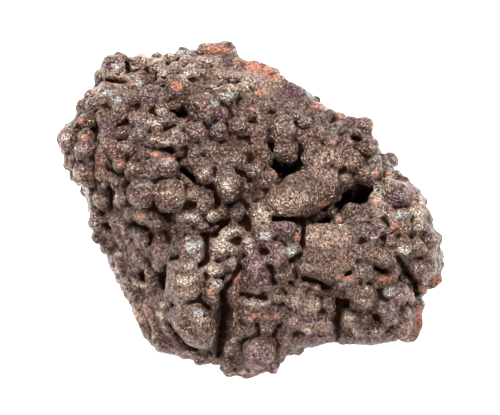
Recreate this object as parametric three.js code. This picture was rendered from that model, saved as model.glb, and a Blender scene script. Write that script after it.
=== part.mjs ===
// Botryoidal goethite hand specimen: one solid stone, in millimetres, +Z up, resting on a broken flat base.
//
// The stone is described in its face frame. u runs across the knobby face, v up it and w out of it, and the
// face looks forward (-Y) and up at FACE_TILT. A signed distance, negative inside the stone, is built from an
// outline, a domed front, flat fractures behind, and the knobs, drips, pits and cracks of the crust. The surface
// is then drawn through a grid of samples, one vertex to each grid cell that it crosses.
import * as THREE from "three";

// Driving dimensions.
const FACE_TILT = THREE.MathUtils.degToRad(55);
const FACE_HEIGHT = 18; // the face frame's origin above the base
const CELL = 1.8; // grid step
const REACH = { x: [-41, 41], y: [-42, 38], z: [-2.6, 46] }; // what the grid spans
const RIM_SWELL = 0.5; // how far the stone's edge bulges past the outline
const RIM_ROUND = 15; // how far in from the outline the front is still rounding over
const DOME_RISE = 13; // how far the front stands out of the rim
const FRONT_LEVEL = 6; // the rim's w at the middle of the face
const FRONT_SLOPE = -0.2; // the front falls back up the face
const FRONT_BOW = -0.004; // and bows away from its middle
const FILLET = 0.6; // blend between a knob and what it grows on
const EDGE_BLEND = 1.5; // blend where the faces of the stone meet
const KNOB_SINK = 0.1; // share of a knob's radius by which its centre lies below the front
const FLANK_DEPTH = 7; // how far below the front the sides keep the outline's detail
const FLANK_TAPER = 0.3; // how far the sides lean in for each millimetre below that
const HACKLE = 0.7; // height of the unevenness of a fracture
const HACKLE_LENGTH = 9; // and its length

// The edge of the stone seen square on to the face, as [u, v].
const OUTLINE = [
  [-30.4, 28], [-29, 30.2], [-26.8, 31.2], [-24, 30.6], [-20, 30.2], [-16.8, 31.4], [-13, 32.6], [-8.8, 33.4],
  [-4.2, 33.8], [-2.6, 32], [-0.8, 30.8], [2.8, 30.4], [5, 28.6], [7, 26.8], [10.4, 25.6], [12.8, 23.8],
  [14.6, 21.6], [18.8, 19.4], [21.4, 19], [23.6, 17.8], [24.8, 15], [25, 13.2], [27.2, 10.8], [28.6, 8.4],
  [32.4, 5.6], [34.6, 2.8], [36, -0.2], [36.6, -2.8], [38, -5.6], [38.6, -9.2], [38.4, -14.2], [36.4, -15.8],
  [32.6, -16.6], [34.8, -18.4], [34.8, -20.2], [34, -23.2], [32.2, -26], [28.6, -26.2], [26.2, -27],
  [20.8, -27], [18.6, -26.6], [17.6, -25.4], [16, -26.2], [13.2, -27.4], [10.4, -27.4], [7.8, -28.4],
  [5.6, -31], [2.4, -32.2], [0.8, -33.4], [-2, -33.4], [-4.8, -32], [-5.8, -30], [-6, -28], [-7.4, -29.6],
  [-9.6, -30.6], [-12.4, -29.8], [-16.8, -29.2], [-20, -26.8], [-24.4, -19], [-27, -14], [-28.6, -10.4],
  [-29, -7.8], [-31.2, -5.6], [-32.6, -2.8], [-31.8, -0.2], [-32.8, 3.4], [-34.6, 6.4], [-36.4, 8.8],
  [-38.4, 11.8], [-38.6, 14.6], [-37.8, 17], [-35.6, 18.4], [-34.4, 21.6], [-32.4, 24.4],
];

// Broad swells and hollows of the front, as [u, v, radius, height].
const SWELLS = [
  [-22, 12, 10, 2.5], [-9, 20, 8, 2], [33, -5, 8, 3], [25, -22, 7, 3], [0, -28, 6, 2.5], [4, -8, 6, 4],
  [-11, -21, 6, 3.5], [19, 3.5, 5.5, -7], [14, -2.5, 4, -4], [7.4, 9.5, 4, -3], [-5, 5, 5, 2.5],
  [-18, 4, 5, 2.5], [-12, -11, 5, 3], [14, 12, 6, 1], [-26, -14, 8, -2], [10, -22, 4, 2],
  [18, -10, 5, 2.5], [22, 8, 5, 1.5], [-14, 8, 3, -2], [16, -19, 3, -2.5], [-20, -14, 4, -2],
];

// Round knobs, as [u, v, radius].
const KNOBS = {
  crown: [[-27.8, 28.4, 3], [-28.8, 23, 2], [-20.4, 26.4, 2], [-15.4, 27.6, 2], [-11, 30.2, 2]],
  leftEdge: [
    [-35.6, 14.2, 3], [-34.4, 8.8, 2.2], [-32.4, 17.6, 2.2], [-31.4, 12.6, 2.4], [-30.6, 5.6, 2.4],
    [-30.2, -3.4, 2.4], [-28, 1, 2.2],
  ],
  upperLeft: [
    [-20, 17.4, 2.6], [-15, 23.4, 2.6], [-8.8, 20, 2.8], [-20, 22, 2.2], [-26, 13, 2.2], [-8, 25.6, 2],
    [-3, 16.2, 2.2],
  ],
  middle: [
    [-21, 2.8, 2.8], [-15.4, 2.6, 3], [-8.8, 7, 2.2], [-4.6, 4.4, 3], [0.4, 8, 2.6], [4, 5.2, 2.2],
    [-11, -7, 3], [-6, -0.8, 2], [1.4, -1.6, 2.2], [-7.2, -14.8, 2.6], [-13.4, -14.2, 3.6],
  ],
  upperRight: [[21.4, 9.4, 2], [12.4, 14, 2], [23.8, 6, 2], [7.4, 19.6, 2]],
  rightMass: [
    [29.4, 3.6, 2.8], [25, -3.2, 2.8], [31.6, -4.4, 3], [34.6, -1, 2.4], [35, -7, 2.8], [34.4, -12.2, 2.8],
  ],
  lowerLeft: [[-21.8, -5.6, 2.6], [-22.6, -13.2, 2.4], [-18.4, -21.6, 3], [-26, -9.6, 2.2], [-9.4, -27.4, 2.4]],
  lowerRight: [
    [20.4, -18, 2.6], [20, -23, 2.6], [15.6, -12.4, 3], [31, -19.8, 3.4], [25.6, -14.2, 2.6],
    [11.6, -17.4, 2.6],
  ],
};

// Long lumps and drips, each a ball swept along a line, as [u, v, u, v, radius, share of it that is sunk].
const DRIPS = {
  finger: [7, 1, 15, 6, 4, 0],
  hangingFinger: [6.6, 17, 7.2, 12.6, 2.8, 0.1],
  edgeLip: [19.6, 16.4, 22.4, 15.6, 2, 0.3],
  upperBar: [-20.8, 8, -15.8, 8.4, 2.4, 0.2],
  sideDrop: [-25.8, 4.4, -25.2, 0.4, 2, 0.2],
  arcRidge: [-22, -1.6, -16.8, -3.6, 2, 0.4],
  beadRow: [-12.6, 10.6, -8.4, 11, 2.2, 0.4],
  paleLump: [-5.8, -8.4, -3, -5.2, 2.4, 0.4],
  dome: [2.4, -10.4, 7, -6, 4.4, 0.5],
  belly: [14, -8, 23, -7.6, 3.8, 0.5],
  rightSide: [31, 1, 34, -10.4, 4, 0.8],
  bigBall: [-12, -20.4, -9.6, -23, 4.2, 0.4],
  footMiddle: [-1.6, -26.8, 2, -27.6, 4.2, 0.6],
  footShelf: [8, -23, 13.6, -21.6, 3.8, 0.7],
  footRight: [21.6, -22, 29.2, -21.4, 4, 0.6],
};

// Pits, as [u, v, half width, half height, turn in degrees, depth].
const PITS = [
  [-13.8, 19.2, 2, 1.5, 0, 4], [-12.8, 7, 2, 1.4, -30, 4], [7.4, 9.4, 3.4, 2.6, 0, 6],
  [20, 3.2, 4.4, 2.4, 8, 8], [13.6, -2.2, 3, 1.8, 0, 5], [26, -11.6, 3, 1.4, -20, 4],
  [-14.6, -25.6, 2, 1.6, -40, 4],
];

// Cracks between the lobes, as [u, v, u, v, half width, depth].
const CRACKS = [
  [-9, -10.4, -5.6, -16.4, 1.1, 2.5], [-5.6, -16.4, -5.8, -29, 1.1, 3.5], [17.8, -18.4, 17.6, -26.5, 1, 2],
  [28.4, -9, 33, -17, 1.1, 3], [-16.4, -17, -14.6, -25, 1, 2.5], [5, -1.2, 16, 1, 1, 3],
];

// Flat fractures, as [azimuth, elevation, distance from the middle of the stone], angles in degrees.
const MIDDLE = new THREE.Vector3(0, 0, FACE_HEIGHT);
const FRACTURES = [
  [88, 2, 34.2], [40, 6, 33.4], [136, 2, 41], [62, 26, 37.6], [180, -42, 31],
  [-8, -44, 32], [-90, -48, 29], [90, -44, 31], [225, -30, 36], [-48, -38, 34], [45, -36, 33], [132, -34, 35],
];

const clamp = THREE.MathUtils.clamp;

/** The union of two distances, blended over k. */
function blendMin(a, b, k) {
  const h = Math.max(k - Math.abs(a - b), 0) / k;
  return Math.min(a, b) - (h * h * k) / 4;
}

/** The intersection of two distances, blended over k. */
const blendMax = (a, b, k) => -blendMin(-a, -b, k);

/** Distance from a point to a line's nearest point, in two or three dimensions. */
function toSegment(p, a, b) {
  let along = 0;
  let length = 0;
  for (let i = 0; i < p.length; i++) {
    along += (p[i] - a[i]) * (b[i] - a[i]);
    length += (b[i] - a[i]) ** 2;
  }
  const t = length ? clamp(along / length, 0, 1) : 0;
  return Math.hypot(...p.map((value, i) => value - a[i] - t * (b[i] - a[i])));
}

/** Distance to a closed outline in the face's plane, negative inside. */
function outlineDistance(outline, u, v) {
  let nearest = Infinity;
  let inside = false;
  outline.forEach((a, i) => {
    const b = outline[(i + 1) % outline.length];
    nearest = Math.min(nearest, toSegment([u, v], a, b));
    if (a[1] > v !== b[1] > v && u < ((b[0] - a[0]) * (v - a[1])) / (b[1] - a[1]) + a[0]) inside = !inside;
  });
  return inside ? -nearest : nearest;
}

/** An outline with each point drawn towards its neighbours, over and over. */
function smoothed(outline, rounds) {
  if (!rounds) return outline;
  const count = outline.length;
  const next = outline.map(([u, v], i) => {
    const [before, after] = [outline[(i + count - 1) % count], outline[(i + 1) % count]];
    return [(before[0] + 2 * u + after[0]) / 4, (before[1] + 2 * v + after[1]) / 4];
  });
  return smoothed(next, rounds - 1);
}

const flankOutline = smoothed(OUTLINE, 12);

/** How far out the front of the stone stands at a place on the face. */
function front(u, v) {
  const inwards = clamp(-outlineDistance(OUTLINE, u, v) / RIM_ROUND, 0, 1);
  let w = FRONT_LEVEL + FRONT_SLOPE * v + FRONT_BOW * v * v + DOME_RISE * Math.sqrt(1 - (1 - inwards) ** 2);
  for (const [cu, cv, radius, height] of SWELLS)
    w += height * Math.exp(-((u - cu) ** 2 + (v - cv) ** 2) / radius ** 2);
  return w;
}

/** The balls and swept balls of the crust, each seated in the front. */
function crustLumps() {
  const seat = (u, v, sunk) => [u, v, front(u, v) - sunk];
  const balls = Object.values(KNOBS)
    .flat()
    .map(([u, v, radius]) => [u, v, u, v, radius, KNOB_SINK]);
  return [...balls, ...Object.values(DRIPS)].map(([u1, v1, u2, v2, radius, sink]) => ({
    from: seat(u1, v1, sink * radius),
    to: seat(u2, v2, sink * radius),
    radius,
  }));
}

/** Distance to a pit's hollow, negative inside it. */
function pitDistance([cu, cv, halfWidth, halfHeight, turn, depth], u, v, w, level) {
  const angle = THREE.MathUtils.degToRad(turn);
  const du = (u - cu) * Math.cos(angle) + (v - cv) * Math.sin(angle);
  const dv = (v - cv) * Math.cos(angle) - (u - cu) * Math.sin(angle);
  const reach = Math.hypot(du / halfWidth, dv / halfHeight, Math.min(w - level, 0) / depth);
  return (reach - 1) * Math.min(halfWidth, halfHeight);
}

/** Distance to a crack's wedge, negative inside it. */
function crackDistance([u1, v1, u2, v2, halfWidth, depth], u, v, w, level) {
  const sunk = clamp((level - w) / depth, 0, 1);
  return Math.max(toSegment([u, v], [u1, v1], [u2, v2]) - halfWidth * (1 - 0.7 * sunk), level - depth - w);
}

const lumps = crustLumps();
const pitLevels = PITS.map(([u, v]) => front(u, v));
const fractures = FRACTURES.map(([azimuth, elevation, distance]) => {
  const a = THREE.MathUtils.degToRad(azimuth);
  const e = THREE.MathUtils.degToRad(elevation);
  return { normal: new THREE.Vector3(Math.cos(a) * Math.cos(e), Math.sin(a) * Math.cos(e), Math.sin(e)), distance };
});

/** Unevenness of a broken face, between -1 and 1. */
function hackle(x, y, z) {
  const k = (2 * Math.PI) / HACKLE_LENGTH;
  return (Math.sin(k * x + 1.9 * Math.sin(0.4 * k * z)) + Math.sin(k * (0.8 * y + 0.7 * z) + 2)) / 2;
}

/** Signed distance to the sides of the stone, which lean in and lose detail below the front. */
function flankDistance(u, v, depth) {
  const below = clamp(depth / FLANK_DEPTH, 0, 1);
  const detailed = outlineDistance(OUTLINE, u, v);
  const plain = outlineDistance(flankOutline, u, v);
  const lean = FLANK_TAPER * Math.max(depth - FLANK_DEPTH, 0);
  return detailed + (plain - detailed) * below + lean - RIM_SWELL;
}

/** Signed distance to the stone's surface at a point of the part's frame. */
function stone(x, y, z) {
  const v = y * Math.sin(FACE_TILT) + (z - FACE_HEIGHT) * Math.cos(FACE_TILT);
  const w = (z - FACE_HEIGHT) * Math.sin(FACE_TILT) - y * Math.cos(FACE_TILT);
  const level = front(x, v);
  let d = blendMax(flankDistance(x, v, level - w), w - level, EDGE_BLEND);
  for (const { from, to, radius } of lumps)
    d = blendMin(d, toSegment([x, v, w], from, to) - radius, FILLET);
  PITS.forEach((pit, i) => {
    d = blendMax(d, -pitDistance(pit, x, v, w, pitLevels[i]), FILLET);
  });
  for (const crack of CRACKS) d = blendMax(d, -crackDistance(crack, x, v, w, level), FILLET);
  const offset = new THREE.Vector3(x, y, z).sub(MIDDLE);
  const uneven = HACKLE * hackle(x, y, z);
  for (const { normal, distance } of fractures)
    d = blendMax(d, offset.dot(normal) - distance + uneven, EDGE_BLEND);
  return Math.max(d, -z);
}

/** Samples of a distance on a regular grid, x fastest, with the grid's size. */
function sample(distance) {
  const size = ["x", "y", "z"].map((axis) => Math.ceil((REACH[axis][1] - REACH[axis][0]) / CELL) + 1);
  const start = [REACH.x[0], REACH.y[0], -Math.ceil(-REACH.z[0] / CELL) * CELL];
  const values = new Float64Array(size[0] * size[1] * size[2]);
  let n = 0;
  for (let k = 0; k < size[2]; k++)
    for (let j = 0; j < size[1]; j++)
      for (let i = 0; i < size[0]; i++)
        values[n++] = distance(start[0] + i * CELL, start[1] + j * CELL, start[2] + k * CELL);
  return { size, start, values };
}

const CORNERS = [0, 1, 2, 3, 4, 5, 6, 7].map((c) => [c & 1, (c >> 1) & 1, (c >> 2) & 1]);

/** Whether the corners of a cell that are in a set hang together along the cell's edges. */
function hangsTogether(mask) {
  if (!mask) return true;
  let reached = mask & -mask;
  for (let round = 0; round < 8; round++)
    for (let c = 0; c < 8; c++)
      if (reached & (1 << c)) for (const step of [1, 2, 4]) reached |= mask & (1 << (c ^ step));
  return reached === mask;
}

const SIMPLE = Array.from({ length: 256 }, (_, mask) => hangsTogether(mask) && hangsTogether(255 - mask));

/** Fills the least deep corner of each cell whose surface would touch itself, until no cell has one. */
function makeSimple({ size, values }) {
  const index = (i, j, k) => i + size[0] * (j + size[1] * k);
  for (let changed = true; changed; ) {
    changed = false;
    for (let k = 0; k < size[2] - 1; k++)
      for (let j = 0; j < size[1] - 1; j++)
        for (let i = 0; i < size[0] - 1; i++) {
          const at = CORNERS.map(([a, b, c]) => index(i + a, j + b, k + c));
          const mask = at.reduce((sum, n, c) => sum | (values[n] < 0 ? 1 << c : 0), 0);
          if (SIMPLE[mask]) continue;
          const outside = at.filter((n) => values[n] >= 0).sort((a, b) => values[a] - values[b]);
          values[outside[0]] = -0.05 * CELL;
          changed = true;
        }
  }
}

/** Keeps only the largest connected body of samples on one side of the surface. */
function keepLargest({ size, values }, isInside) {
  const strides = [1, size[0], size[0] * size[1]];
  const label = new Int32Array(values.length);
  const counts = [0];
  for (let seed = 0; seed < values.length; seed++) {
    if (label[seed] || !isInside(values[seed])) continue;
    const id = counts.push(0) - 1;
    const queue = [seed];
    label[seed] = id;
    while (queue.length) {
      const n = queue.pop();
      counts[id]++;
      for (const stride of strides)
        for (const m of [n - stride, n + stride])
          if (m >= 0 && m < values.length && !label[m] && isInside(values[m])) {
            label[m] = id;
            queue.push(m);
          }
    }
  }
  const largest = counts.indexOf(Math.max(...counts));
  label.forEach((id, n) => {
    if (id && id !== largest) values[n] = -values[n] || 0.05 * CELL;
  });
}

/** The closed surface through the samples: a vertex in each crossed cell, four cells to each crossed edge. */
function surfaceOf({ size, start, values }) {
  const index = (i, j, k) => i + size[0] * (j + size[1] * k);
  const positions = [];
  const vertexOf = new Map();
  const vertexIn = (i, j, k) => {
    const cell = index(i, j, k);
    if (vertexOf.has(cell)) return vertexOf.get(cell);
    const sum = [0, 0, 0];
    let crossings = 0;
    for (const corner of CORNERS)
      for (let axis = 0; axis < 3; axis++) {
        if (corner[axis]) continue;
        const next = corner.map((value, n) => (n === axis ? 1 : value));
        const a = values[index(i + corner[0], j + corner[1], k + corner[2])];
        const b = values[index(i + next[0], j + next[1], k + next[2])];
        if (a < 0 === b < 0) continue;
        crossings++;
        for (let n = 0; n < 3; n++) sum[n] += corner[n] + (n === axis ? clamp(a / (a - b), 0.05, 0.95) : 0);
      }
    positions.push(...sum.map((value, n) => start[n] + ([i, j, k][n] + value / crossings) * CELL));
    vertexOf.set(cell, positions.length / 3 - 1);
    return positions.length / 3 - 1;
  };
  const triangles = [];
  for (let k = 1; k < size[2] - 1; k++)
    for (let j = 1; j < size[1] - 1; j++)
      for (let i = 1; i < size[0] - 1; i++)
        for (let axis = 0; axis < 3; axis++) {
          const at = [i, j, k];
          const here = values[index(i, j, k)];
          const there = values[index(i + (axis === 0), j + (axis === 1), k + (axis === 2))];
          if (here < 0 === there < 0) continue;
          const [p, q] = [(axis + 1) % 3, (axis + 2) % 3];
          const ring = [[0, 0], [1, 0], [1, 1], [0, 1]].map(([a, b]) => {
            const cell = [...at];
            cell[p] -= a;
            cell[q] -= b;
            return vertexIn(...cell);
          });
          if (here < 0) triangles.push(ring[0], ring[1], ring[2], ring[0], ring[2], ring[3]);
          else triangles.push(ring[0], ring[2], ring[1], ring[0], ring[3], ring[2]);
        }
  return new THREE.BufferGeometry()
    .setAttribute("position", new THREE.Float32BufferAttribute(positions, 3))
    .setIndex(triangles);
}

/** The stone's mesh, with its broken base flat at z = 0. */
function stoneGeometry() {
  const grid = sample(stone);
  makeSimple(grid);
  keepLargest(grid, (value) => value < 0);
  keepLargest(grid, (value) => value >= 0);
  const geometry = surfaceOf(grid);
  const position = geometry.getAttribute("position");
  for (let n = 0; n < position.count; n++) if (position.getZ(n) < 0.3 * CELL) position.setZ(n, 0);
  geometry.computeVertexNormals();
  return geometry;
}

const goethite = new THREE.MeshStandardMaterial({ color: 0x6e5a50, roughness: 0.45, metalness: 0.35 });

const specimen = new THREE.Mesh(stoneGeometry(), goethite);
specimen.name = "goethite_specimen";

const part = new THREE.Group();
part.add(specimen);

export default part;
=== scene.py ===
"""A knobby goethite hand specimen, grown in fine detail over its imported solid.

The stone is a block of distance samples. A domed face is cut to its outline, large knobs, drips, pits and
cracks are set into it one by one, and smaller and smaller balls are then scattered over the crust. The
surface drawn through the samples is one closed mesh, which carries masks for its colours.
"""

import logging
import math
from collections.abc import Iterable
from dataclasses import dataclass, field
from enum import Enum

import bpy
import numpy as np
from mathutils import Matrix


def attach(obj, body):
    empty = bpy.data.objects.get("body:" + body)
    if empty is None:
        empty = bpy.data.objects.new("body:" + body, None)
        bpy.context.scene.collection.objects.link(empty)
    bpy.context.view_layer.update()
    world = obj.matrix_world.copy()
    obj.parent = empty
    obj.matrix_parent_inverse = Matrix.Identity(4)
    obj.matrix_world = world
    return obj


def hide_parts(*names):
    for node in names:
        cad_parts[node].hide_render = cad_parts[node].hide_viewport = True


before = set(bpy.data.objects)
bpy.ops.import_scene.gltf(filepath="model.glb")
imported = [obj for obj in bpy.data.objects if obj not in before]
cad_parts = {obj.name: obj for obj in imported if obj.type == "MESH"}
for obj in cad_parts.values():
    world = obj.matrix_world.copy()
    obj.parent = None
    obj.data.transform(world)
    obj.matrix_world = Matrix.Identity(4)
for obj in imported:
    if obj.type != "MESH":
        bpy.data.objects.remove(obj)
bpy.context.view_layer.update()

log = logging.getLogger("goethite")

Array = np.ndarray
Colour = tuple[float, float, float, float]
Socket = bpy.types.NodeSocket

MM = 0.001


def blend_min(a: Array, b: Array, k: float) -> Array:
    """Join two distances with a fillet.

    Args:
        a: The first distance.
        b: The second distance.
        k: How near the two must be for the fillet to start.

    Returns:
        The distance to the joined shape.
    """
    near = np.maximum(k - np.abs(a - b), 0) / k
    return np.minimum(a, b) - near * near * k / 4


def blend_max(a: Array, b: Array, k: float) -> Array:
    """Intersect two distances with a rounded edge.

    Args:
        a: The first distance.
        b: The second distance.
        k: How near the two must be for the rounding to start.

    Returns:
        The distance to what the two shapes share.
    """
    return -blend_min(-a, -b, k)


def ramp(value: Array, low: float, high: float) -> Array:
    """Map a value smoothly to 0 at low and 1 at high.

    Args:
        value: What to map.
        low: The value that gives 0.
        high: The value that gives 1; it may be the smaller one.

    Returns:
        The mapped value, between 0 and 1.
    """
    t = np.clip((value - low) / (high - low), 0, 1)
    return t * t * (3 - 2 * t)


@dataclass(frozen=True)
class Noise:
    """Smooth noise between -1 and 1, from a lattice of random values that repeats.

    Attributes:
        seed: Which lattice.
        length: Its spacing in millimetres.
        octaves: How many finer and weaker copies are added.
    """

    seed: int
    length: float
    octaves: int = 1

    LATTICE = 32
    OCTAVE_SHIFT = 7.3
    DOME_AREA = 0.64

    def at(self, points: Array) -> Array:
        """Sample the noise.

        Args:
            points: Places as rows of three coordinates in millimetres.

        Returns:
            One value for each place.
        """
        lattice = np.random.default_rng(self.seed).uniform(-1, 1, (self.LATTICE,) * 3).astype(np.float32)
        total = np.zeros(len(points), np.float32)
        for octave in range(self.octaves):
            places = points * (2**octave / self.length) + self.OCTAVE_SHIFT * octave
            total += self._layer(lattice, places) / 2**octave
        return total

    def over(self, x: Array, y: Array, z: Array) -> Array:
        """Sample the noise over a range of the block's samples, given by their x, y and z."""
        places = np.stack(np.broadcast_arrays(x, y, z), axis=-1)
        return self.at(places.reshape(-1, 3)).reshape(places.shape[:3])

    def domes(self, points: Array) -> Array:
        """Sample close-packed round domes of the noise's length.

        Args:
            points: Places as rows of three coordinates in millimetres.

        Returns:
            For each place, 1 on top of a dome and 0 in the crease round it.
        """
        shape = (self.LATTICE,) * 3 + (3,)
        jitter = np.random.default_rng(self.seed).uniform(0, 1, shape).astype(np.float32)
        places = points / self.length
        whole = np.floor(places).astype(np.int64)
        nearest = np.full(len(points), np.inf)
        for move in np.ndindex(3, 3, 3):
            cell = whole + np.array(move) - 1
            centre = cell + jitter[tuple((cell % self.LATTICE).T)]
            nearest = np.minimum(nearest, np.sum((places - centre) ** 2, axis=1))
        return np.clip(1 - nearest / self.DOME_AREA, 0, 1)

    def _layer(self, lattice: Array, places: Array) -> Array:
        """Sample one octave of the noise.

        Args:
            lattice: The random values.
            places: Places counted in lattice steps.

        Returns:
            One value for each place.
        """
        whole = np.floor(places)
        part = (places - whole).astype(np.float32)
        part = part * part * (3 - 2 * part)
        first = whole.astype(np.int64) % self.LATTICE
        second = (first + 1) % self.LATTICE
        value = np.zeros(len(places), np.float32)
        for corner in range(8):
            picks = [(corner >> axis) & 1 for axis in range(3)]
            index = tuple((second if pick else first)[:, axis] for axis, pick in enumerate(picks))
            shares = [part[:, n] if pick else 1 - part[:, n] for n, pick in enumerate(picks)]
            value += lattice[index] * np.prod(shares, axis=0)
        return value


@dataclass(frozen=True)
class FaceFrame:
    """The frame of the knobby face: u across it, v up it and w out of it, in millimetres.

    Attributes:
        tilt: Degrees by which the face's outward normal stands above level.
        height: How far the frame's origin lies above the base.
    """

    tilt: float = 55.0
    height: float = 18.0

    @property
    def sine(self) -> float:
        """Sine of the tilt."""
        return math.sin(math.radians(self.tilt))

    @property
    def cosine(self) -> float:
        """Cosine of the tilt."""
        return math.cos(math.radians(self.tilt))

    def up(self, y: Array, z: Array) -> Array:
        """The v of places in the row frame."""
        return y * self.sine + (z - self.height) * self.cosine

    def out(self, y: Array, z: Array) -> Array:
        """The w of places in the row frame."""
        return (z - self.height) * self.sine - y * self.cosine

    def to_row(self, u: float, v: float, w: float) -> Array:
        """Turn face coordinates into row coordinates.

        Args:
            u: Across the face.
            v: Up the face.
            w: Out of the face.

        Returns:
            x, y and z in millimetres.
        """
        y = v * self.sine - w * self.cosine
        z = v * self.cosine + w * self.sine + self.height
        return np.array([u, y, z])


@dataclass(frozen=True)
class Outline:
    """A closed outline in the face's plane.

    Attributes:
        points: Its corners as (u, v), in order.
    """

    points: tuple[tuple[float, float], ...]

    def smoothed(self, rounds: int) -> "Outline":
        """Draw each corner towards its neighbours.

        Args:
            rounds: How many times.

        Returns:
            The plainer outline.
        """
        ring = np.array(self.points)
        for _ in range(rounds):
            ring = (np.roll(ring, 1, axis=0) + 2 * ring + np.roll(ring, -1, axis=0)) / 4
        return Outline(tuple(map(tuple, ring)))

    def distance(self, u: Array, v: Array) -> Array:
        """Signed distance to the outline.

        Args:
            u: Across the face.
            v: Up the face, in an array that matches u.

        Returns:
            The distance, negative inside.
        """
        nearest = np.full(np.broadcast(u, v).shape, np.inf)
        inside = np.zeros(nearest.shape, bool)
        for (u1, v1), (u2, v2) in zip(self.points, self.points[1:] + self.points[:1]):
            du, dv = u2 - u1, v2 - v1
            t = np.clip(((u - u1) * du + (v - v1) * dv) / (du * du + dv * dv), 0, 1)
            nearest = np.minimum(nearest, np.hypot(u - u1 - t * du, v - v1 - t * dv))
            if v1 != v2:
                inside ^= ((v1 > v) != (v2 > v)) & (u < du * (v - v1) / dv + u1)
        return np.where(inside, -nearest, nearest)


class Block:
    """Samples of signed distance on a regular grid round the stone, negative inside it.

    Attributes:
        start: The first sample's place, in millimetres.
        step: The grid's step.
        values: The samples, indexed by x, y and z.
    """

    CORNERS = np.array([[c & 1, c >> 1 & 1, c >> 2 & 1] for c in range(8)])
    UNEVENNESS = Noise(33, 2.6, 2)
    SWITCHED = 0.05
    LEAST_SHARE = 0.05

    def __init__(self, low: Array, high: Array, step: float) -> None:
        """Lay out the grid.

        Args:
            low: The lowest corner to span.
            high: The highest corner to span.
            step: The grid's step. A layer of samples lies at z = 0.
        """
        self.step = step
        self.start = np.floor(np.array(low) / step) * step
        self.shape = tuple(np.ceil((np.array(high) - self.start) / step).astype(int) + 1)
        self.values = np.full(self.shape, np.inf, np.float32)

    def axes(
        self, first: Iterable[int] = (0, 0, 0), last: Iterable[int] | None = None
    ) -> tuple[Array, ...]:
        """The x, y and z of a range of samples, shaped to spread over the range.

        Args:
            first: The range's first index on each axis.
            last: One past its last index on each axis; the whole grid if left out.

        Returns:
            The three arrays.
        """
        ends = self.shape if last is None else last
        lines = [self.start[n] + self.step * np.arange(a, b) for n, (a, b) in enumerate(zip(first, ends))]
        return lines[0][:, None, None], lines[1][None, :, None], lines[2][None, None, :]

    def around(self, low: Array, high: Array) -> tuple[tuple[slice, ...], tuple[Array, ...]]:
        """The part of the grid that covers a box.

        Args:
            low: The box's lowest corner.
            high: The box's highest corner.

        Returns:
            The slices of the part, and the x, y and z of its samples.
        """
        first = np.clip(np.floor((low - self.start) / self.step).astype(int), 0, self.shape)
        last = np.clip(np.ceil((high - self.start) / self.step).astype(int) + 1, 0, self.shape)
        return tuple(slice(a, b) for a, b in zip(first, last)), self.axes(first, last)

    def add_rod(
        self, start: Array, end: Array, radius: float, fillet: float, uneven: float = 0.0
    ) -> None:
        """Join a ball swept from one place to another.

        Args:
            start: Where it starts.
            end: Where it ends; the same place gives a ball.
            radius: The ball's radius.
            fillet: How far it blends into the stone.
            uneven: The height of the unevenness of its surface.
        """
        reach = radius + fillet + self.step
        span, (x, y, z) = self.around(np.minimum(start, end) - reach, np.maximum(start, end) + reach)
        along = end - start
        length = float(along @ along)
        place = (x - start[0], y - start[1], z - start[2])
        t = 0.0
        if length:
            t = np.clip(sum(p * a for p, a in zip(place, along)) / length, 0, 1)
        apart = np.sqrt(sum((p - t * a) ** 2 for p, a in zip(place, along))) - radius
        if uneven:
            apart += uneven * self.UNEVENNESS.over(x, y, z)
        self.values[span] = blend_min(self.values[span], apart, fillet)

    def sampled(self, field_of: Array, points: Array) -> Array:
        """Read a field on the grid between its samples.

        Args:
            field_of: The field, shaped as the grid.
            points: Places in millimetres.

        Returns:
            One value for each place.
        """
        places = np.clip((points - self.start) / self.step, 0, np.array(self.shape) - 1.001)
        whole = places.astype(np.int64)
        part = places - whole
        value = np.zeros(len(points))
        for corner in self.CORNERS:
            weight = np.prod(np.where(corner, part, 1 - part), axis=1)
            value += weight * field_of[tuple((whole + corner).T)]
        return value

    def blurred_inside(self, radius: float) -> Array:
        """The share of stone in a box around each sample.

        Args:
            radius: Half the box's side, in millimetres.

        Returns:
            The share, from 0 to 1, shaped as the grid.
        """
        reach = max(1, round(radius / self.step))
        share = (self.values < 0).astype(np.float32)
        for _ in range(2):
            for axis in range(3):
                padded = np.concatenate(
                    [np.zeros_like(share.take([0], axis)), np.cumsum(share, axis, dtype=np.float64)], axis
                )
                count = share.shape[axis]
                high = np.minimum(np.arange(count) + reach + 1, count)
                low = np.maximum(np.arange(count) - reach, 0)
                total = padded.take(high, axis) - padded.take(low, axis)
                share = (total / (2 * reach + 1)).astype(np.float32)
        return share

    def _masks(self) -> Array:
        """Find which corners of each cell are in the stone.

        Returns:
            A number from 0 to 255 for each cell, one bit for each corner.
        """
        inside = self.values < 0
        n = [s - 1 for s in self.shape]
        masks = np.zeros(n, np.uint8)
        for bit, (a, b, c) in enumerate(self.CORNERS):
            masks |= inside[a : a + n[0], b : b + n[1], c : c + n[2]].astype(np.uint8) << bit
        return masks

    @staticmethod
    def _hangs_together(mask: int) -> bool:
        """Find whether the corners in a set are joined along the cell's edges.

        Args:
            mask: The set, one bit for each corner.

        Returns:
            Whether they are.
        """
        reached = mask & -mask
        for _ in range(8):
            for corner in range(8):
                if reached >> corner & 1:
                    for move in (1, 2, 4):
                        reached |= mask & 1 << (corner ^ move)
        return reached == mask

    def make_simple(self) -> None:
        """Fill corners until no cell is left in which the surface would touch itself."""
        simple = np.array([self._hangs_together(m) and self._hangs_together(255 - m) for m in range(256)])
        while True:
            cells = np.argwhere(~simple[self._masks()])
            if not len(cells):
                return
            for cell in cells:
                corners = cell + self.CORNERS
                here = self.values[tuple(corners.T)]
                outside = np.where(here < 0, np.inf, here)
                self.values[tuple(corners[np.argmin(outside)])] = -self.SWITCHED * self.step

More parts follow.
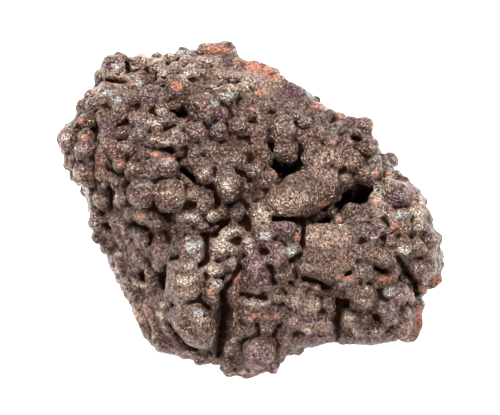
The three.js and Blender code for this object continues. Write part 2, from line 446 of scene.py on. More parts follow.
    def _flooded(self, seed: int, allowed: Array) -> Array:
        """The allowed samples that hang together with one of them.

        Args:
            seed: The flat index of the sample to start from.
            allowed: Which samples may be reached, flat.

        Returns:
            Which samples are reached, flat.
        """
        strides = np.array([self.shape[1] * self.shape[2], self.shape[2], 1])
        steps = np.concatenate([strides, -strides])
        reached = np.zeros(len(allowed), bool)
        reached[seed] = True
        front = np.array([seed])
        while len(front):
            beside = (front[:, None] + steps).ravel()
            beside = beside[(beside >= 0) & (beside < len(allowed))]
            beside = beside[allowed[beside] & ~reached[beside]]
            reached[beside] = True
            front = np.unique(beside)
        return reached

    def keep_one_body(self) -> None:
        """Drop loose crumbs and fill sealed bubbles."""
        flat = self.values.reshape(-1)
        body = self._flooded(int(np.argmin(flat)), flat < 0)
        flat[(flat < 0) & ~body] = self.SWITCHED * self.step
        air = self._flooded(0, flat >= 0)
        flat[(flat >= 0) & ~air] = -self.SWITCHED * self.step

    def surface(self) -> tuple[Array, Array]:
        """Draw the surface through the samples, one vertex in each cell that it crosses.

        Returns:
            The vertices in millimetres, and the faces as rows of four vertices.
        """
        masks = self._masks()
        cells = np.argwhere((masks > 0) & (masks < 255))
        numbers = np.full(masks.shape, -1, np.int64)
        numbers[tuple(cells.T)] = np.arange(len(cells))
        corners = [self.values[tuple((cells + corner).T)] for corner in self.CORNERS]
        total = np.zeros((len(cells), 3))
        crossings = np.zeros(len(cells))
        for low in range(8):
            for axis in range(3):
                if low >> axis & 1:
                    continue
                a, b = corners[low], corners[low | 1 << axis]
                crossed = (a < 0) != (b < 0)
                t = np.clip(a / np.where(crossed, a - b, 1), self.LEAST_SHARE, 1 - self.LEAST_SHARE)
                total += crossed[:, None] * (self.CORNERS[low] + t[:, None] * (np.arange(3) == axis))
                crossings += crossed
        vertices = self.start + (cells + total / crossings[:, None]) * self.step
        return vertices, np.concatenate([self._faces(numbers, axis) for axis in range(3)])

    def _faces(self, numbers: Array, axis: int) -> Array:
        """The faces round the grid's edges along one axis.

        Args:
            numbers: The vertex in each cell.
            axis: The edges' axis.

        Returns:
            The faces as rows of four vertices, facing out of the stone.
        """
        inside = self.values < 0
        here = [slice(1, -1)] * 3
        there = list(here)
        there[axis] = slice(2, None)
        starts, ends = inside[tuple(here)], inside[tuple(there)]
        faces = []
        p, q = (axis + 1) % 3, (axis + 2) % 3
        for leaving in (True, False):
            edges = np.argwhere((starts != ends) & (starts == leaving)) + 1
            ring = []
            for a, b in ((0, 0), (1, 0), (1, 1), (0, 1)):
                cell = edges.copy()
                cell[:, p] -= a
                cell[:, q] -= b
                ring.append(numbers[tuple(cell.T)])
            faces.append(np.stack(ring if leaving else ring[::-1], axis=1))
        return np.concatenate(faces)


class Tint(Enum):
    """The stone's local colours, among them painted light, painted shade and painted highlights, by the name
    of their mask.
    """

    # Painted light.
    LIGHT = "light"
    # A darker colour together with painted shade.
    DUSK = "dusk"
    RUST = "rust"
    PURPLE = "purple"
    # Painted blue-silver highlights.
    STEEL = "steel"
    PALE = "pale"


# Where each tint lies on the face: u, v, half width, half height.
TINT_PATCHES = {
    # Broad patches of painted light, on the top and the lower right.
    Tint.LIGHT: (
        (-17, 30, 8, 3), (-26, 27, 5, 4), (-9, 30, 6, 3), (-3, 27, 6, 4), (3, 26, 5, 4), (16, 9, 5, 4),
        (8, 1, 5, 3), (14, -5, 7, 3), (-12, 2, 3, 2), (-8, -11, 3, 4), (-12, -17, 3, 3), (3, -17, 5, 3),
        (9, -17, 4, 3), (14, -21, 6, 5), (32, -17, 3, 2), (27, 1, 4, 5), (-14, 14, 3, 3),
        (-22, -20, 2, 3), (33, 2, 3, 3), (-31, 23, 3, 2),
    ),
    # Darker colour and painted shade, on dark stretches and on edges and folds that face away from the
    # light.
    Tint.DUSK: (
        (-33, 15, 3, 5), (-32, 20, 3, 3), (-23, 9, 4, 4), (-22, 4, 3, 3), (-3, 4, 3, 3), (-4, 14, 3, 3),
        (-18, -4, 4, 3), (-28, -10, 2, 4), (-22, -15, 2, 4), (-12, -23, 3, 3), (-16, -26, 5, 3),
        (-3, -22, 3, 5), (-3, -30, 3, 3), (2, -31, 4, 3), (-13, 21, 3, 4), (2, 10, 3, 3), (1, -12, 4, 4),
        (-26, 17, 2, 2), (23, -21, 3, 3), (18, -18, 2, 3), (13, 22.5, 5, 1.5), (30, 9, 5, 1.5),
        (36, -20, 2, 4), (-36, 0, 2, 8), (-31, -12, 2, 8), (-22, -25, 3, 3),
    ),
    Tint.RUST: (
        (-7.2, 32.4, 3.4, 1.1), (-1.8, 29.8, 1.6, 1.2), (0.6, 28.8, 3.0, 1.2), (3.4, 28.2, 2.4, 1.4),
        (4.9, 26.4, 1.3, 0.8), (2.0, 23.4, 1.3, 0.9), (0.3, 20.0, 0.7, 0.5), (13.7, 20.6, 1.3, 0.6),
        (11.8, 20.0, 0.4, 1.0), (16.6, 13.2, 0.6, 1.0), (-12.9, 18.0, 0.5, 0.9), (-18.4, 10.9, 1.2, 0.6),
        (-15.7, 10.0, 1.6, 0.6), (-2.8, -12.5, 1.0, 1.9), (4.0, -20.9, 1.7, 0.6), (37.2, -14.0, 1.5, 1.3),
        (34.6, -15.6, 1.4, 0.8), (31.4, -15.2, 1.0, 0.8), (27.2, -13.2, 2.4, 0.8), (28.2, -3.0, 0.7, 0.7),
        (17.4, -1.8, 0.8, 0.6), (24.8, 7.0, 1.0, 1.0), (5.2, 7.4, 1.0, 0.6), (14.4, 1.2, 1.8, 0.6),
        (9.4, -5.2, 0.8, 0.8), (-7.4, -15.8, 0.8, 0.8), (-32.8, 14.2, 1.3, 0.8), (-33.6, 17.6, 0.8, 0.8),
        (-25.2, 9.2, 0.9, 0.8), (-29.2, 9.6, 0.8, 0.6), (-14.6, 24.4, 1.5, 1.1), (-21.6, -1.2, 1.4, 0.8),
        (24.4, 1.6, 0.8, 0.6), (18.6, -13.0, 2.0, 0.8), (27.2, 7.2, 1.0, 1.0), (20.4, -1.2, 0.5, 0.5),
        (18.2, 18.8, 0.9, 0.7), (1.0, -20.6, 1.0, 0.6), (36.6, 0.0, 1.0, 3.0), (33.4, -22.0, 1.2, 3.0),
    ),
    Tint.PURPLE: (
        (-4.6, 30.4, 1.5, 2.2), (8.4, 23.8, 4.0, 1.6), (21.6, 17.4, 2.8, 1.4), (16.4, 19.0, 1.2, 1.2),
        (29.0, 2.4, 3.0, 2.8), (32.8, 4.0, 2.2, 1.8), (24.8, -4.2, 2.6, 2.2), (2.2, -9.8, 4.0, 6.0),
        (6.6, -4.0, 2.6, 1.8), (5.6, -7.6, 1.6, 2.6), (28.6, -17.0, 3.0, 2.6), (26.8, -21.0, 1.4, 1.8),
        (1.4, -27.8, 3.2, 3.4), (5.6, -23.8, 2.8, 2.2), (10.4, -21.2, 2.8, 1.4), (13.0, -25.4, 4.6, 1.6),
        (24.6, -25.6, 3.0, 1.2), (-6.2, 18.8, 2.2, 1.6), (-6.4, 14.6, 2.0, 1.2), (-19.4, 21.8, 2.2, 1.6),
        (-28.6, 16.4, 1.4, 3.4), (-32.6, 12.6, 1.8, 2.4), (-16.0, -27.2, 3.0, 1.4), (-9.9, -29.0, 1.2, 1.2),
        (-13.4, 14.0, 1.5, 1.3), (-19.4, 8.0, 2.4, 1.3), (34.2, -4.6, 0.8, 1.4), (32.8, -12.4, 1.6, 2.0),
        (-27.8, 29.2, 2.0, 1.4), (-20.8, 2.6, 1.8, 1.2),
    ),
    # Painted blue-silver highlights on the knobs.
    Tint.STEEL: (
        (-24.0, 28.0, 0.9, 0.9), (-22.2, 25.4, 0.8, 1.0), (-28.4, 23.4, 1.6, 0.9), (-26.2, 21.8, 1.2, 0.8),
        (-4.6, 22.6, 1.6, 1.0), (-13.6, 31.8, 2.2, 0.7), (-8.2, 29.8, 0.9, 0.5), (-6.9, 24.4, 1.4, 0.5),
        (-6.8, 21.2, 1.0, 0.9), (-8.0, 16.7, 1.4, 0.7), (-10.8, -1.6, 1.2, 0.8), (-11.4, -7.2, 1.4, 1.2),
        (-9.6, -6.6, 0.8, 1.0), (-20.6, 4.9, 1.4, 0.5), (-6.6, -14.4, 1.4, 0.7), (8.0, -8.0, 1.2, 1.2),
        (30.2, -7.8, 1.6, 1.0), (29.4, -1.0, 1.6, 0.8), (-10.2, -20.0, 1.4, 0.8), (-16.6, 9.1, 0.8, 0.6),
        (-27.0, 28.6, 1.0, 0.7), (3.0, -5.0, 1.4, 0.9), (27.0, -16.0, 1.6, 1.0),
    ),
    Tint.PALE: (
        (-24.4, 26.4, 0.9, 0.7), (-26.2, 25.1, 1.0, 0.5), (-18.0, 27.4, 2.0, 1.2),
        (-12.0, 26.6, 2.4, 1.6), (-18.6, 14.0, 1.4, 0.6), (-16.6, 13.2, 1.2, 0.8),
        (-14.6, 15.4, 1.0, 0.4), (-17.4, 19.4, 1.2, 0.8), (-19.0, 17.2, 1.8, 0.7), (-0.4, 25.2, 1.6, 1.2),
        (-5.2, -6.6, 2.6, 2.6), (-3.6, -4.2, 2.4, 1.0), (-0.2, -7.0, 0.9, 2.2), (-7.4, -11.8, 2.2, 1.0),
        (-3.4, -10.0, 1.8, 0.8), (2.4, -1.0, 2.0, 2.6), (1.2, -17.9, 2.8, 0.9), (-12.4, -13.6, 2.4, 1.1),
        (-12.0, -10.8, 1.6, 0.6), (-10.6, -17.8, 1.4, 0.7), (-9.4, -21.4, 2.0, 0.6),
        (-12.6, -1.4, 2.0, 1.0), (-7.6, -1.2, 1.6, 1.2), (-4.4, 5.0, 1.6, 1.5), (-16.0, 3.4, 1.4, 0.6),
        (-8.6, 7.2, 0.9, 0.6), (-24.0, -14.0, 1.6, 0.9), (-21.4, -14.8, 1.6, 0.7),
        (-16.8, -18.6, 1.2, 0.8), (-17.4, -20.6, 0.8, 1.2), (25.2, 3.4, 1.2, 2.2), (27.6, 6.8, 1.4, 1.2),
        (25.4, -0.2, 1.6, 0.6), (32.6, -1.0, 2.0, 2.0), (33.0, -3.4, 1.2, 1.0), (29.8, -7.8, 1.4, 0.8),
        (18.6, 6.6, 1.0, 0.8), (16.4, -0.4, 0.7, 0.9), (17.8, -2.8, 1.0, 0.6), (22.0, -1.7, 0.9, 0.5),
        (9.2, -9.2, 1.4, 0.6), (12.0, -5.4, 1.4, 0.5), (10.8, -23.6, 1.4, 0.6), (19.6, -21.0, 1.2, 0.7),
        (-3.2, -25.4, 0.7, 0.6), (-1.4, -32.0, 1.0, 0.6), (-35.6, 10.6, 0.8, 0.5),
        (-36.8, 14.4, 1.2, 1.2), (11.2, -3.0, 0.9, 0.6), (-26.0, -8.6, 0.8, 0.6),
    ),
}


@dataclass(frozen=True)
class Sprinkle:
    """A scatter of balls over the crust.

    Attributes:
        radii: The smallest and largest ball.
        spacing: How close two balls may be, as a share of their radii's sum.
        lift: How far a ball's centre stands out of the surface, least and most, as a share of its radius.
        cover: The share of the crust that gets them, in patches.
        patch: The size of those patches.
        fillet: How far a ball blends into the stone.
        seed: Which scatter.
        everywhere: Whether they also grow on the set knobs and drips.
    """

    radii: tuple[float, float]
    spacing: float
    lift: tuple[float, float]
    cover: float
    patch: float
    fillet: float
    seed: int
    everywhere: bool = False


@dataclass
class StoneShape:
    """The stone's shape, in the face frame and in millimetres.

    Attributes:
        face: Where the face frame lies.
        step: The grid's step.
        rim_swell: How far the stone's edge bulges past the outline.
        rim_round: How far in from the outline the front is still rounding over.
        dome_rise: How far the front stands out of the rim.
        front_level: The rim's w at the middle of the face.
        front_slope: How fast the front falls back up the face.
        front_bow: How fast it bows away from its middle.
        flank_depth: How far below the front the sides keep the outline's detail.
        flank_taper: How far the sides lean in below that.
        edge_blend: The rounding where the faces of the stone meet.
        hackle: The height of the unevenness of a broken face.
        hackle_length: Its length.
    """

    face: FaceFrame = FaceFrame()
    step: float = 0.4
    rim_swell: float = -0.25
    rim_round: float = 15.0
    dome_rise: float = 13.0
    front_level: float = 6.0
    front_slope: float = -0.2
    front_bow: float = -0.004
    flank_depth: float = 7.0
    flank_taper: float = 0.3
    edge_blend: float = 1.5
    hackle: float = 0.7
    hackle_length: float = 9.0

    LOW = (-42.0, -42.0, -1.0)
    HIGH = (42.0, 38.0, 47.0)
    MAP_STEP = 0.25
    MAP_REACH = 52.0
    PLAIN_ROUNDS = 12

    OUTLINE = Outline(
        (
            (-30.4, 28.0), (-29.0, 30.2), (-26.8, 31.2), (-24.0, 30.6), (-20.0, 30.2), (-16.8, 31.4),
            (-13.0, 32.6), (-8.8, 33.4), (-4.2, 33.8), (-2.6, 32.0), (-0.8, 30.8), (2.8, 30.4),
            (5.0, 28.6), (7.0, 26.8), (10.4, 25.6), (12.8, 23.8), (14.6, 21.6), (18.8, 19.4),
            (21.4, 19.0), (23.6, 17.8), (24.8, 15.0), (25.0, 13.2), (27.2, 10.8), (28.6, 8.4),
            (32.4, 5.6), (34.6, 2.8), (36.0, -0.2), (36.6, -2.8), (38.0, -5.6), (38.6, -9.2),
            (38.4, -14.2), (36.4, -15.8), (32.6, -16.6), (34.8, -18.4), (34.8, -20.2), (34.0, -23.2),
            (32.2, -26.0), (28.6, -26.2), (26.2, -27.0), (20.8, -27.0), (18.6, -26.6), (17.6, -25.4),
            (16.0, -26.2), (13.2, -27.4), (10.4, -27.4), (7.8, -28.4), (5.6, -31.0), (2.4, -32.2),
            (0.8, -33.4), (-2.0, -33.4), (-4.8, -32.0), (-5.8, -30.0), (-6.0, -28.0), (-7.4, -29.6),
            (-9.6, -30.6), (-12.4, -29.8), (-16.8, -29.2), (-20.0, -26.8), (-24.4, -19.0), (-27.0, -14.0),
            (-28.6, -10.4), (-29.0, -7.8), (-31.2, -5.6), (-32.6, -2.8), (-31.8, -0.2), (-32.8, 3.4),
            (-34.6, 6.4), (-36.4, 8.8), (-38.4, 11.8), (-38.6, 14.6), (-37.8, 17.0), (-35.6, 18.4),
            (-34.4, 21.6), (-32.4, 24.4),
        )
    )

    # Broad swells and hollows of the front: u, v, radius, height.
    SWELLS = (
        (-22, 12, 10, 2.5), (-9, 20, 8, 2), (33, -5, 8, 3), (25, -22, 7, 3), (0, -28, 6, 2.5),
        (4, -8, 6, 4), (-11, -21, 6, 3.5), (19, 3.5, 5.5, -7), (14, -2.5, 4, -4), (7.4, 9.5, 4, -3),
        (-5, 5, 5, 2.5), (-18, 4, 5, 2.5), (-12, -11, 5, 3), (14, 12, 6, 1), (-26, -14, 8, -2),
        (10, -22, 4, 2), (18, -10, 5, 2.5), (22, 8, 5, 1.5), (-14, 8, 3, -2), (16, -19, 3, -2.5),
        (-20, -14, 4, -2),
    )

    # Round knobs: u, v, radius.
    KNOBS = {
        "crown": (
            (-27.0, 28.0, 2.5), (-29.6, 26.9, 1.4), (-27.0, 26.8, 1.2), (-22.4, 28.6, 2.0),
            (-24.4, 26.4, 0.9), (-26.2, 25.1, 0.9), (-22.2, 25.2, 1.3), (-20.4, 28.6, 1.6),
            (-23.8, 29.4, 1.2), (-21.8, 26.8, 1.0),
        ),
        "shoulder": (
            (-28.6, 23.2, 1.6), (-29.0, 21.5, 0.8), (-26.4, 22.0, 1.7), (-23.6, 21.6, 1.7),
            (-33.6, 19.4, 0.8), (-31.0, 20.6, 1.0), (-25.6, 19.6, 1.2), (-22.0, 23.4, 0.8),
        ),
        "top_crust": (
            (-18.6, 28.2, 1.7), (-17.0, 26.4, 1.1), (-15.0, 27.6, 1.5), (-11.8, 27.0, 1.7),
            (-9.6, 29.0, 1.4), (-12.6, 29.4, 1.5), (-7.0, 29.4, 1.2), (-13.4, 31.0, 1.5),
            (-16.4, 29.8, 1.3), (-9.6, 26.4, 1.2), (-6.2, 26.4, 1.3), (-3.6, 26.2, 1.2),
            (-0.2, 25.2, 1.4), (-4.6, 22.5, 2.0), (-1.6, 23.6, 0.8), (-0.6, 22.0, 1.0), (-7.6, 23.8, 1.0),
            (-7.0, 21.6, 1.2),
        ),
        "left_edge": (
            (-36.0, 14.0, 2.0), (-35.4, 9.6, 1.5), (-34.8, 7.2, 1.0), (-32.3, 7.3, 2.3),
            (-32.4, 11.6, 1.8), (-32.6, 14.2, 1.2), (-32.4, 17.2, 1.4), (-30.0, -2.4, 1.5),
            (-29.8, -5.2, 1.3), (-28.2, -7.4, 0.9), (-28.8, 2.2, 1.7), (-29.6, -0.6, 0.9),
        ),
        "upper_left": (
            (-24.9, 15.0, 1.1), (-21.6, 17.6, 1.8), (-14.6, 24.2, 2.2), (-17.6, 24.4, 1.2),
            (-19.4, 22.0, 2.4), (-17.5, 19.3, 1.2), (-14.0, 17.1, 0.7), (-9.2, 19.7, 2.5),
            (-15.6, 17.9, 0.9), (-19.0, 13.9, 0.9), (-17.2, 13.2, 0.8), (-22.0, 14.4, 1.5),
            (-14.0, 13.6, 1.5), (-12.6, 22.6, 1.0), (-26.5, 11.7, 1.4), (-24.3, 11.8, 1.5),
            (-25.2, 9.1, 1.2), (-29.0, 11.2, 1.1), (-29.2, 9.4, 1.1), (-22.8, 10.0, 0.8),
            (-26.6, 5.3, 1.7), (-29.0, 7.4, 1.2), (-18.2, 15.2, 0.8), (-14.8, 15.4, 0.6),
        ),
        "middle": (
            (-16.6, 7.9, 2.2), (-15.6, 2.8, 2.7), (-11.3, 3.2, 1.4), (-8.8, 6.6, 1.9), (-4.4, 4.5, 2.5),
            (-4.7, 6.6, 1.7), (-6.0, 9.2, 1.3), (-2.6, 9.2, 1.7), (-4.4, 11.4, 1.5), (-1.6, 11.6, 1.3),
            (-7.4, 11.6, 1.2), (1.2, 7.4, 2.0), (-10.4, 11.6, 1.4), (3.4, 5.8, 2.0), (-0.4, 4.2, 0.9),
            (-1.6, 5.2, 0.7), (-9.2, 3.4, 0.7), (-12.7, 5.9, 0.7), (-11.8, 5.0, 0.5), (-25.2, 2.4, 1.5),
            (-21.0, 3.4, 2.3), (-20.6, -1.4, 1.8), (-23.6, -0.6, 1.2), (-8.6, 1.0, 1.4),
            (-7.2, -1.0, 1.2), (-11.0, -1.6, 1.6), (-13.4, -1.2, 1.6), (-15.0, -3.6, 1.2),
            (-5.2, -0.2, 1.2), (-2.6, -0.5, 1.3), (-12.8, -3.6, 1.0), (-9.2, -3.6, 0.9),
        ),
        "pale_crust": (
            (1.0, -1.0, 1.6), (2.8, 0.4, 1.4), (3.4, -2.4, 1.5), (1.4, -3.8, 1.2), (-5.4, -5.0, 1.8),
            (-6.2, -7.6, 2.0), (-3.6, -4.4, 1.4), (-4.0, -8.2, 1.2), (-2.2, -8.6, 1.2), (-0.2, -6.4, 1.3),
            (0.0, -8.2, 1.1), (-3.4, -10.2, 1.1), (-1.2, -4.6, 1.0), (-7.2, -11.9, 1.6),
            (-4.8, -11.0, 1.1), (-7.2, -15.8, 2.2), (-11.2, -5.0, 0.9), (-9.6, -4.7, 0.6),
            (-11.0, -8.0, 2.5), (-12.2, -11.2, 1.4), (-9.8, -11.2, 1.0), (-13.2, -13.8, 3.4),
            (-10.3, -14.2, 1.5), (-15.2, -8.0, 1.0),
        ),
        "purple_dome": (
            (3.0, -5.0, 1.8), (6.6, -4.0, 2.2), (8.6, -5.0, 1.5), (5.0, -8.8, 1.9), (8.0, -8.0, 1.4),
            (6.2, -12.4, 1.7), (5.2, -14.9, 0.7), (5.6, -16.9, 1.1), (8.6, -17.4, 1.5), (7.6, -15.3, 0.8),
            (7.4, -10.6, 1.0), (1.0, -10.8, 2.2),
        ),
        "upper_right": (
            (6.0, 18.6, 1.2), (9.0, 18.2, 1.3), (4.6, 16.6, 1.0), (10.4, 17.0, 1.2), (8.0, 20.4, 1.0),
            (13.2, 19.7, 1.4), (15.9, 19.0, 1.3), (14.0, 18.0, 0.9), (13.2, 14.6, 1.4), (16.6, 16.6, 1.1),
            (9.9, 14.6, 1.2), (11.7, 14.6, 1.0), (-2.8, 16.2, 1.5), (-6.4, 15.6, 1.5), (-6.0, 18.6, 1.6),
            (-1.4, 18.6, 1.4), (-10.6, 15.2, 1.9), (-8.0, 16.7, 0.9), (-0.4, 15.6, 1.3), (2.4, 17.6, 1.2),
            (0.6, 19.4, 1.1), (-9.0, 13.2, 1.2), (-3.4, 13.8, 1.0), (20.8, 9.2, 1.6), (24.7, 9.2, 1.3),
            (24.7, 7.3, 1.2), (19.2, 6.6, 1.5), (17.2, 5.8, 0.9), (23.0, 12.2, 2.0), (18.9, 13.4, 1.1),
            (21.0, 14.9, 1.2), (26.2, 9.8, 1.0), (22.6, 6.5, 0.6), (21.6, 7.1, 0.6), (13.4, 9.4, 0.9),
            (16.2, 10.2, 1.0), (16.8, 7.9, 0.9), (11.4, 10.2, 1.0), (12.6, 12.2, 1.2), (19.6, 11.2, 1.1),
            (2.6, 20.2, 1.0), (10.8, 21.2, 0.9),
        ),
        "right_mass": (
            (28.9, 2.6, 2.7), (27.3, 7.4, 1.1), (28.8, 6.6, 1.2), (26.7, 5.6, 0.8), (25.4, 4.3, 0.9),
            (25.0, 3.0, 0.8), (25.8, 2.2, 0.9), (24.3, 1.6, 0.9), (26.4, 0.6, 0.9), (27.4, -0.6, 0.9),
            (24.4, -5.4, 1.7), (22.6, -4.6, 1.7), (27.3, -6.0, 1.0), (28.2, -3.0, 0.9), (30.2, -3.6, 1.4),
            (33.0, -3.4, 1.4), (30.0, -7.4, 1.7), (32.6, -7.4, 1.6), (32.6, -0.8, 1.4), (29.8, -1.2, 1.4),
            (34.6, -1.6, 1.2), (35.2, -6.0, 1.6), (32.6, -11.4, 1.9), (34.8, -11.8, 1.6),
            (36.2, -13.6, 1.3), (34.4, -9.2, 1.5), (28.3, -11.6, 1.0),
        ),
        "cavity_beads": (
            (16.2, -0.1, 0.7), (16.3, -1.1, 0.6), (20.0, 0.2, 0.8), (17.6, -2.4, 1.2), (19.6, -2.7, 0.8),
            (14.0, -1.2, 0.5), (11.2, -3.0, 0.9), (21.9, -1.6, 0.9), (18.6, -1.0, 0.6), (12.6, -2.2, 0.6),
        ),
        "lower_left": (
            (-11.4, -27.5, 1.0), (-9.9, -28.8, 1.2), (-7.4, -28.4, 0.9), (-16.8, -18.4, 0.8),
            (-17.6, -20.2, 0.9), (-16.7, -21.3, 0.7), (-16.4, -22.6, 0.6), (-14.8, -23.1, 0.5),
            (-15.6, -17.8, 0.7), (-19.0, -15.0, 1.2), (-20.8, -14.8, 0.8), (-22.4, -14.6, 0.8),
            (-24.0, -14.8, 0.9), (-21.6, -11.6, 0.8), (-20.0, -16.4, 0.7), (-20.0, -17.8, 0.7),
            (-24.6, -13.4, 0.8), (-19.2, -12.6, 1.3), (-17.4, -10.6, 1.3), (-25.6, -9.0, 1.0),
            (-22.4, -9.4, 0.9), (-18.0, -25.2, 1.2), (-22.6, -16.8, 0.8), (-25.6, -11.4, 0.9),
        ),
        "lower_right": (
            (22.6, -17.0, 2.0), (20.2, -15.8, 1.2), (19.8, -20.9, 1.6), (21.4, -23.2, 1.4),
            (24.8, -23.2, 1.3), (19.4, -24.6, 1.2), (27.6, -21.2, 1.0), (29.8, -22.8, 1.7),
            (28.0, -16.6, 2.4), (30.6, -17.4, 1.7), (26.8, -19.4, 1.4), (10.4, -14.0, 1.1),
            (13.0, -14.9, 1.1), (12.0, -18.4, 1.5), (15.0, -18.0, 1.6), (11.4, -23.4, 1.0),
            (17.3, -20.2, 0.7), (24.6, -14.4, 1.2), (30.2, -20.2, 1.2), (23.8, -25.0, 1.1),
        ),
        "foot": (
            (-3.8, -26.6, 1.8), (-4.0, -29.4, 1.7), (-3.2, -25.2, 0.8), (1.6, -27.6, 2.7),
            (0.2, -30.4, 1.2), (3.6, -29.8, 1.4), (3.6, -26.2, 1.4), (5.4, -27.0, 1.5),
            (-1.6, -24.0, 1.2), (0.2, -21.4, 1.2), (-0.6, -19.8, 1.0), (3.0, -23.2, 1.4),
            (6.4, -24.2, 1.6), (2.6, -20.8, 0.9), (5.4, -20.6, 0.9),
        ),
    }
    # How far a knob's centre is sunk, as a share of its radius: less for each millimetre of it, with limits.
    KNOB_SINK = 0.62
    SINK_LOSS = 0.25
    SINK_LIMITS = (0.05, 0.55)
    KNOB_GROWTH = 1.2

    # Long lumps and drips: u, v, u, v, radius, share of it that is sunk.
    DRIPS = {
        "finger": (6.8, 1.6, 14.4, 4.8, 4.1, 0.1),
        "hanging_finger": (6.5, 16.4, 7.0, 12.0, 2.3, -0.5),
        "finger_root": (1.6, 15.0, 2.0, 9.6, 2.0, 0.2),
        "small_drip": (16.4, 15.0, 15.9, 13.2, 1.3, 0.0),
        "edge_lip": (20.4, 17.3, 22.6, 16.4, 1.8, 0.3),
        "upper_bar": (-22.4, 7.4, -19.0, 7.7, 1.9, 0.1),
        "rust_arc_left": (-19.2, 10.8, -17.0, 10.5, 0.8, 0.1),
        "rust_arc_right": (-16.6, 10.4, -14.8, 9.8, 0.7, 0.1),
        "bead_row": (-13.0, 9.2, -9.8, 9.3, 1.4, 0.2),
        "knuckle": (-20.2, 16.9, -17.6, 17.0, 1.3, 0.0),
        "shoulder_low": (-34.0, 20.0, -32.2, 23.0, 1.0, 0.1),
        "shoulder_bend": (-32.2, 23.0, -28.8, 24.7, 1.0, 0.1),
        "shoulder_high": (-28.8, 24.7, -24.6, 24.3, 1.0, 0.1),
        "left_rib": (-34.6, 18.8, -34.4, 16.8, 0.9, 0.2),
        "smooth_rib": (-29.0, 18.6, -28.0, 12.8, 1.4, 0.3),
        "low_rib": (-31.4, 3.0, -30.8, 0.4, 0.8, 0.1),
        "arc_lump": (-21.4, -0.2, -18.0, -2.8, 1.7, 0.2),
        "brown_slope": (-18.4, -5.4, -16.6, -8.8, 2.2, 0.5),
        "flow_left": (-27.0, -2.6, -25.0, -6.8, 0.9, 0.2),
        "flow_middle": (-25.4, -2.4, -23.2, -7.4, 0.9, 0.2),
        "flow_right": (-23.0, -7.4, -20.0, -11.6, 1.0, 0.3),
        "arc_core": (-22.2, -4.6, -20.8, -6.2, 1.5, 0.3),
        "low_flow_left": (-22.0, -19.6, -19.6, -24.6, 1.4, 0.5),
        "low_flow_right": (-20.0, -18.8, -18.0, -23.6, 1.2, 0.5),
        "dark_foot": (-17.2, -26.8, -14.4, -27.0, 1.5, 0.4),
        "big_ball": (-11.2, -21.8, -10.4, -22.8, 4.3, 0.3),
        "stalk": (-3.0, -16.6, -3.2, -22.4, 1.2, 0.3),
        "pale_shelf": (-1.4, -18.0, 3.0, -18.2, 0.9, 0.0),
        "dome": (-0.4, -13.4, 2.4, -13.0, 3.0, 0.4),
        "belly_top": (13.6, -7.0, 19.0, -7.0, 4.0, 0.6),
        "belly_low": (13.0, -10.6, 17.0, -10.8, 3.6, 0.5),
        "lip": (21.8, -8.2, 27.0, -9.4, 1.7, 0.0),
        "lip_below": (24.8, -13.6, 30.0, -13.4, 1.4, 0.4),
        "slanting_ridge": (18.4, -13.8, 22.0, -11.6, 1.8, 0.3),
        "purple_bead": (24.4, -2.6, 26.2, -3.8, 1.2, 0.0),
        "right_side": (30.2, 1.4, 33.8, -10.4, 4.0, 0.8),
        "right_brow": (30.4, 5.6, 33.8, 2.0, 1.2, 0.3),
        "right_rim": (36.4, -5.0, 36.8, -12.4, 1.2, 0.3),
        "shelf_top": (8.4, -21.2, 15.0, -21.6, 2.2, 0.6),
        "shelf": (8.8, -25.0, 15.2, -24.2, 1.9, 0.5),
        "foot_right": (21.6, -24.4, 28.4, -23.8, 1.8, 0.6),
        "corner_rim": (32.4, -19.0, 32.0, -24.2, 1.9, 0.9),
        "pale_toe": (-2.2, -31.3, -0.6, -32.4, 0.6, 0.0),
        "rust_top": (-9.0, 31.9, -4.6, 32.2, 1.8, 0.4),
        "purple_facet": (-4.4, 31.4, -3.4, 29.0, 1.5, 0.4),
        "rust_brow": (0.8, 29.0, 4.2, 27.4, 1.5, 0.5),
        "steel_slope": (5.4, 25.2, 9.8, 23.0, 1.9, 0.6),
    }

    # Deep hollows, into which the lumps hang: u, v, half width, half height, turn in degrees, depth.
    HOLLOWS = (
        (6.5, 10.4, 4.6, 4.4, 0, 7.5), (20.2, 3.2, 5.0, 3.0, 10, 9.0), (16.4, 1.0, 2.4, 1.6, 30, 8.0),
        (14.6, -1.8, 2.8, 2.1, 15, 6.0), (-13.8, 19.2, 2.4, 1.8, 0, 4.0), (-12.0, 6.9, 2.6, 1.7, -25, 4.5),
        (-17.0, -0.6, 2.3, 1.3, 0, 2.5), (-24.5, 17.2, 1.8, 1.4, 20, 2.6), (-31.8, 16.0, 1.7, 5.0, 0, 1.2),
        (-5.0, 1.6, 3.8, 1.6, -8, 3.6), (-5.4, -2.4, 3.4, 1.2, 10, 1.8), (24.8, -11.2, 2.9, 1.4, -25, 3.0),
        (21.6, 6.6, 2.4, 1.2, 0, 2.0), (-17.4, -13.8, 1.4, 2.0, 0, 2.0), (18.4, -18.6, 1.8, 1.4, 0, 2.0),
        (10.4, -11.4, 1.4, 2.4, 0, 1.6), (-28.0, 5.2, 1.4, 1.0, 0, 1.5),
    )

    # Small pits: u, v, half width, half height, turn in degrees, depth.
    PITS = (
        (4.9, 19.6, 0.8, 0.5, 20, 1.0), (21.0, 14.2, 1.0, 0.3, 0, 0.5), (18.5, 15.0, 0.7, 0.4, 30, 0.8),
        (2.8, -8.1, 0.9, 0.6, 0, 1.2), (-28.4, -3.3, 0.8, 0.6, 0, 1.0), (-21.3, -13.0, 0.6, 0.7, 0, 1.0),
        (15.2, -15.0, 1.0, 0.5, 0, 1.2), (24.6, -20.9, 0.7, 0.9, 30, 1.2), (26.0, -5.3, 0.6, 0.5, 0, 0.8),
    )

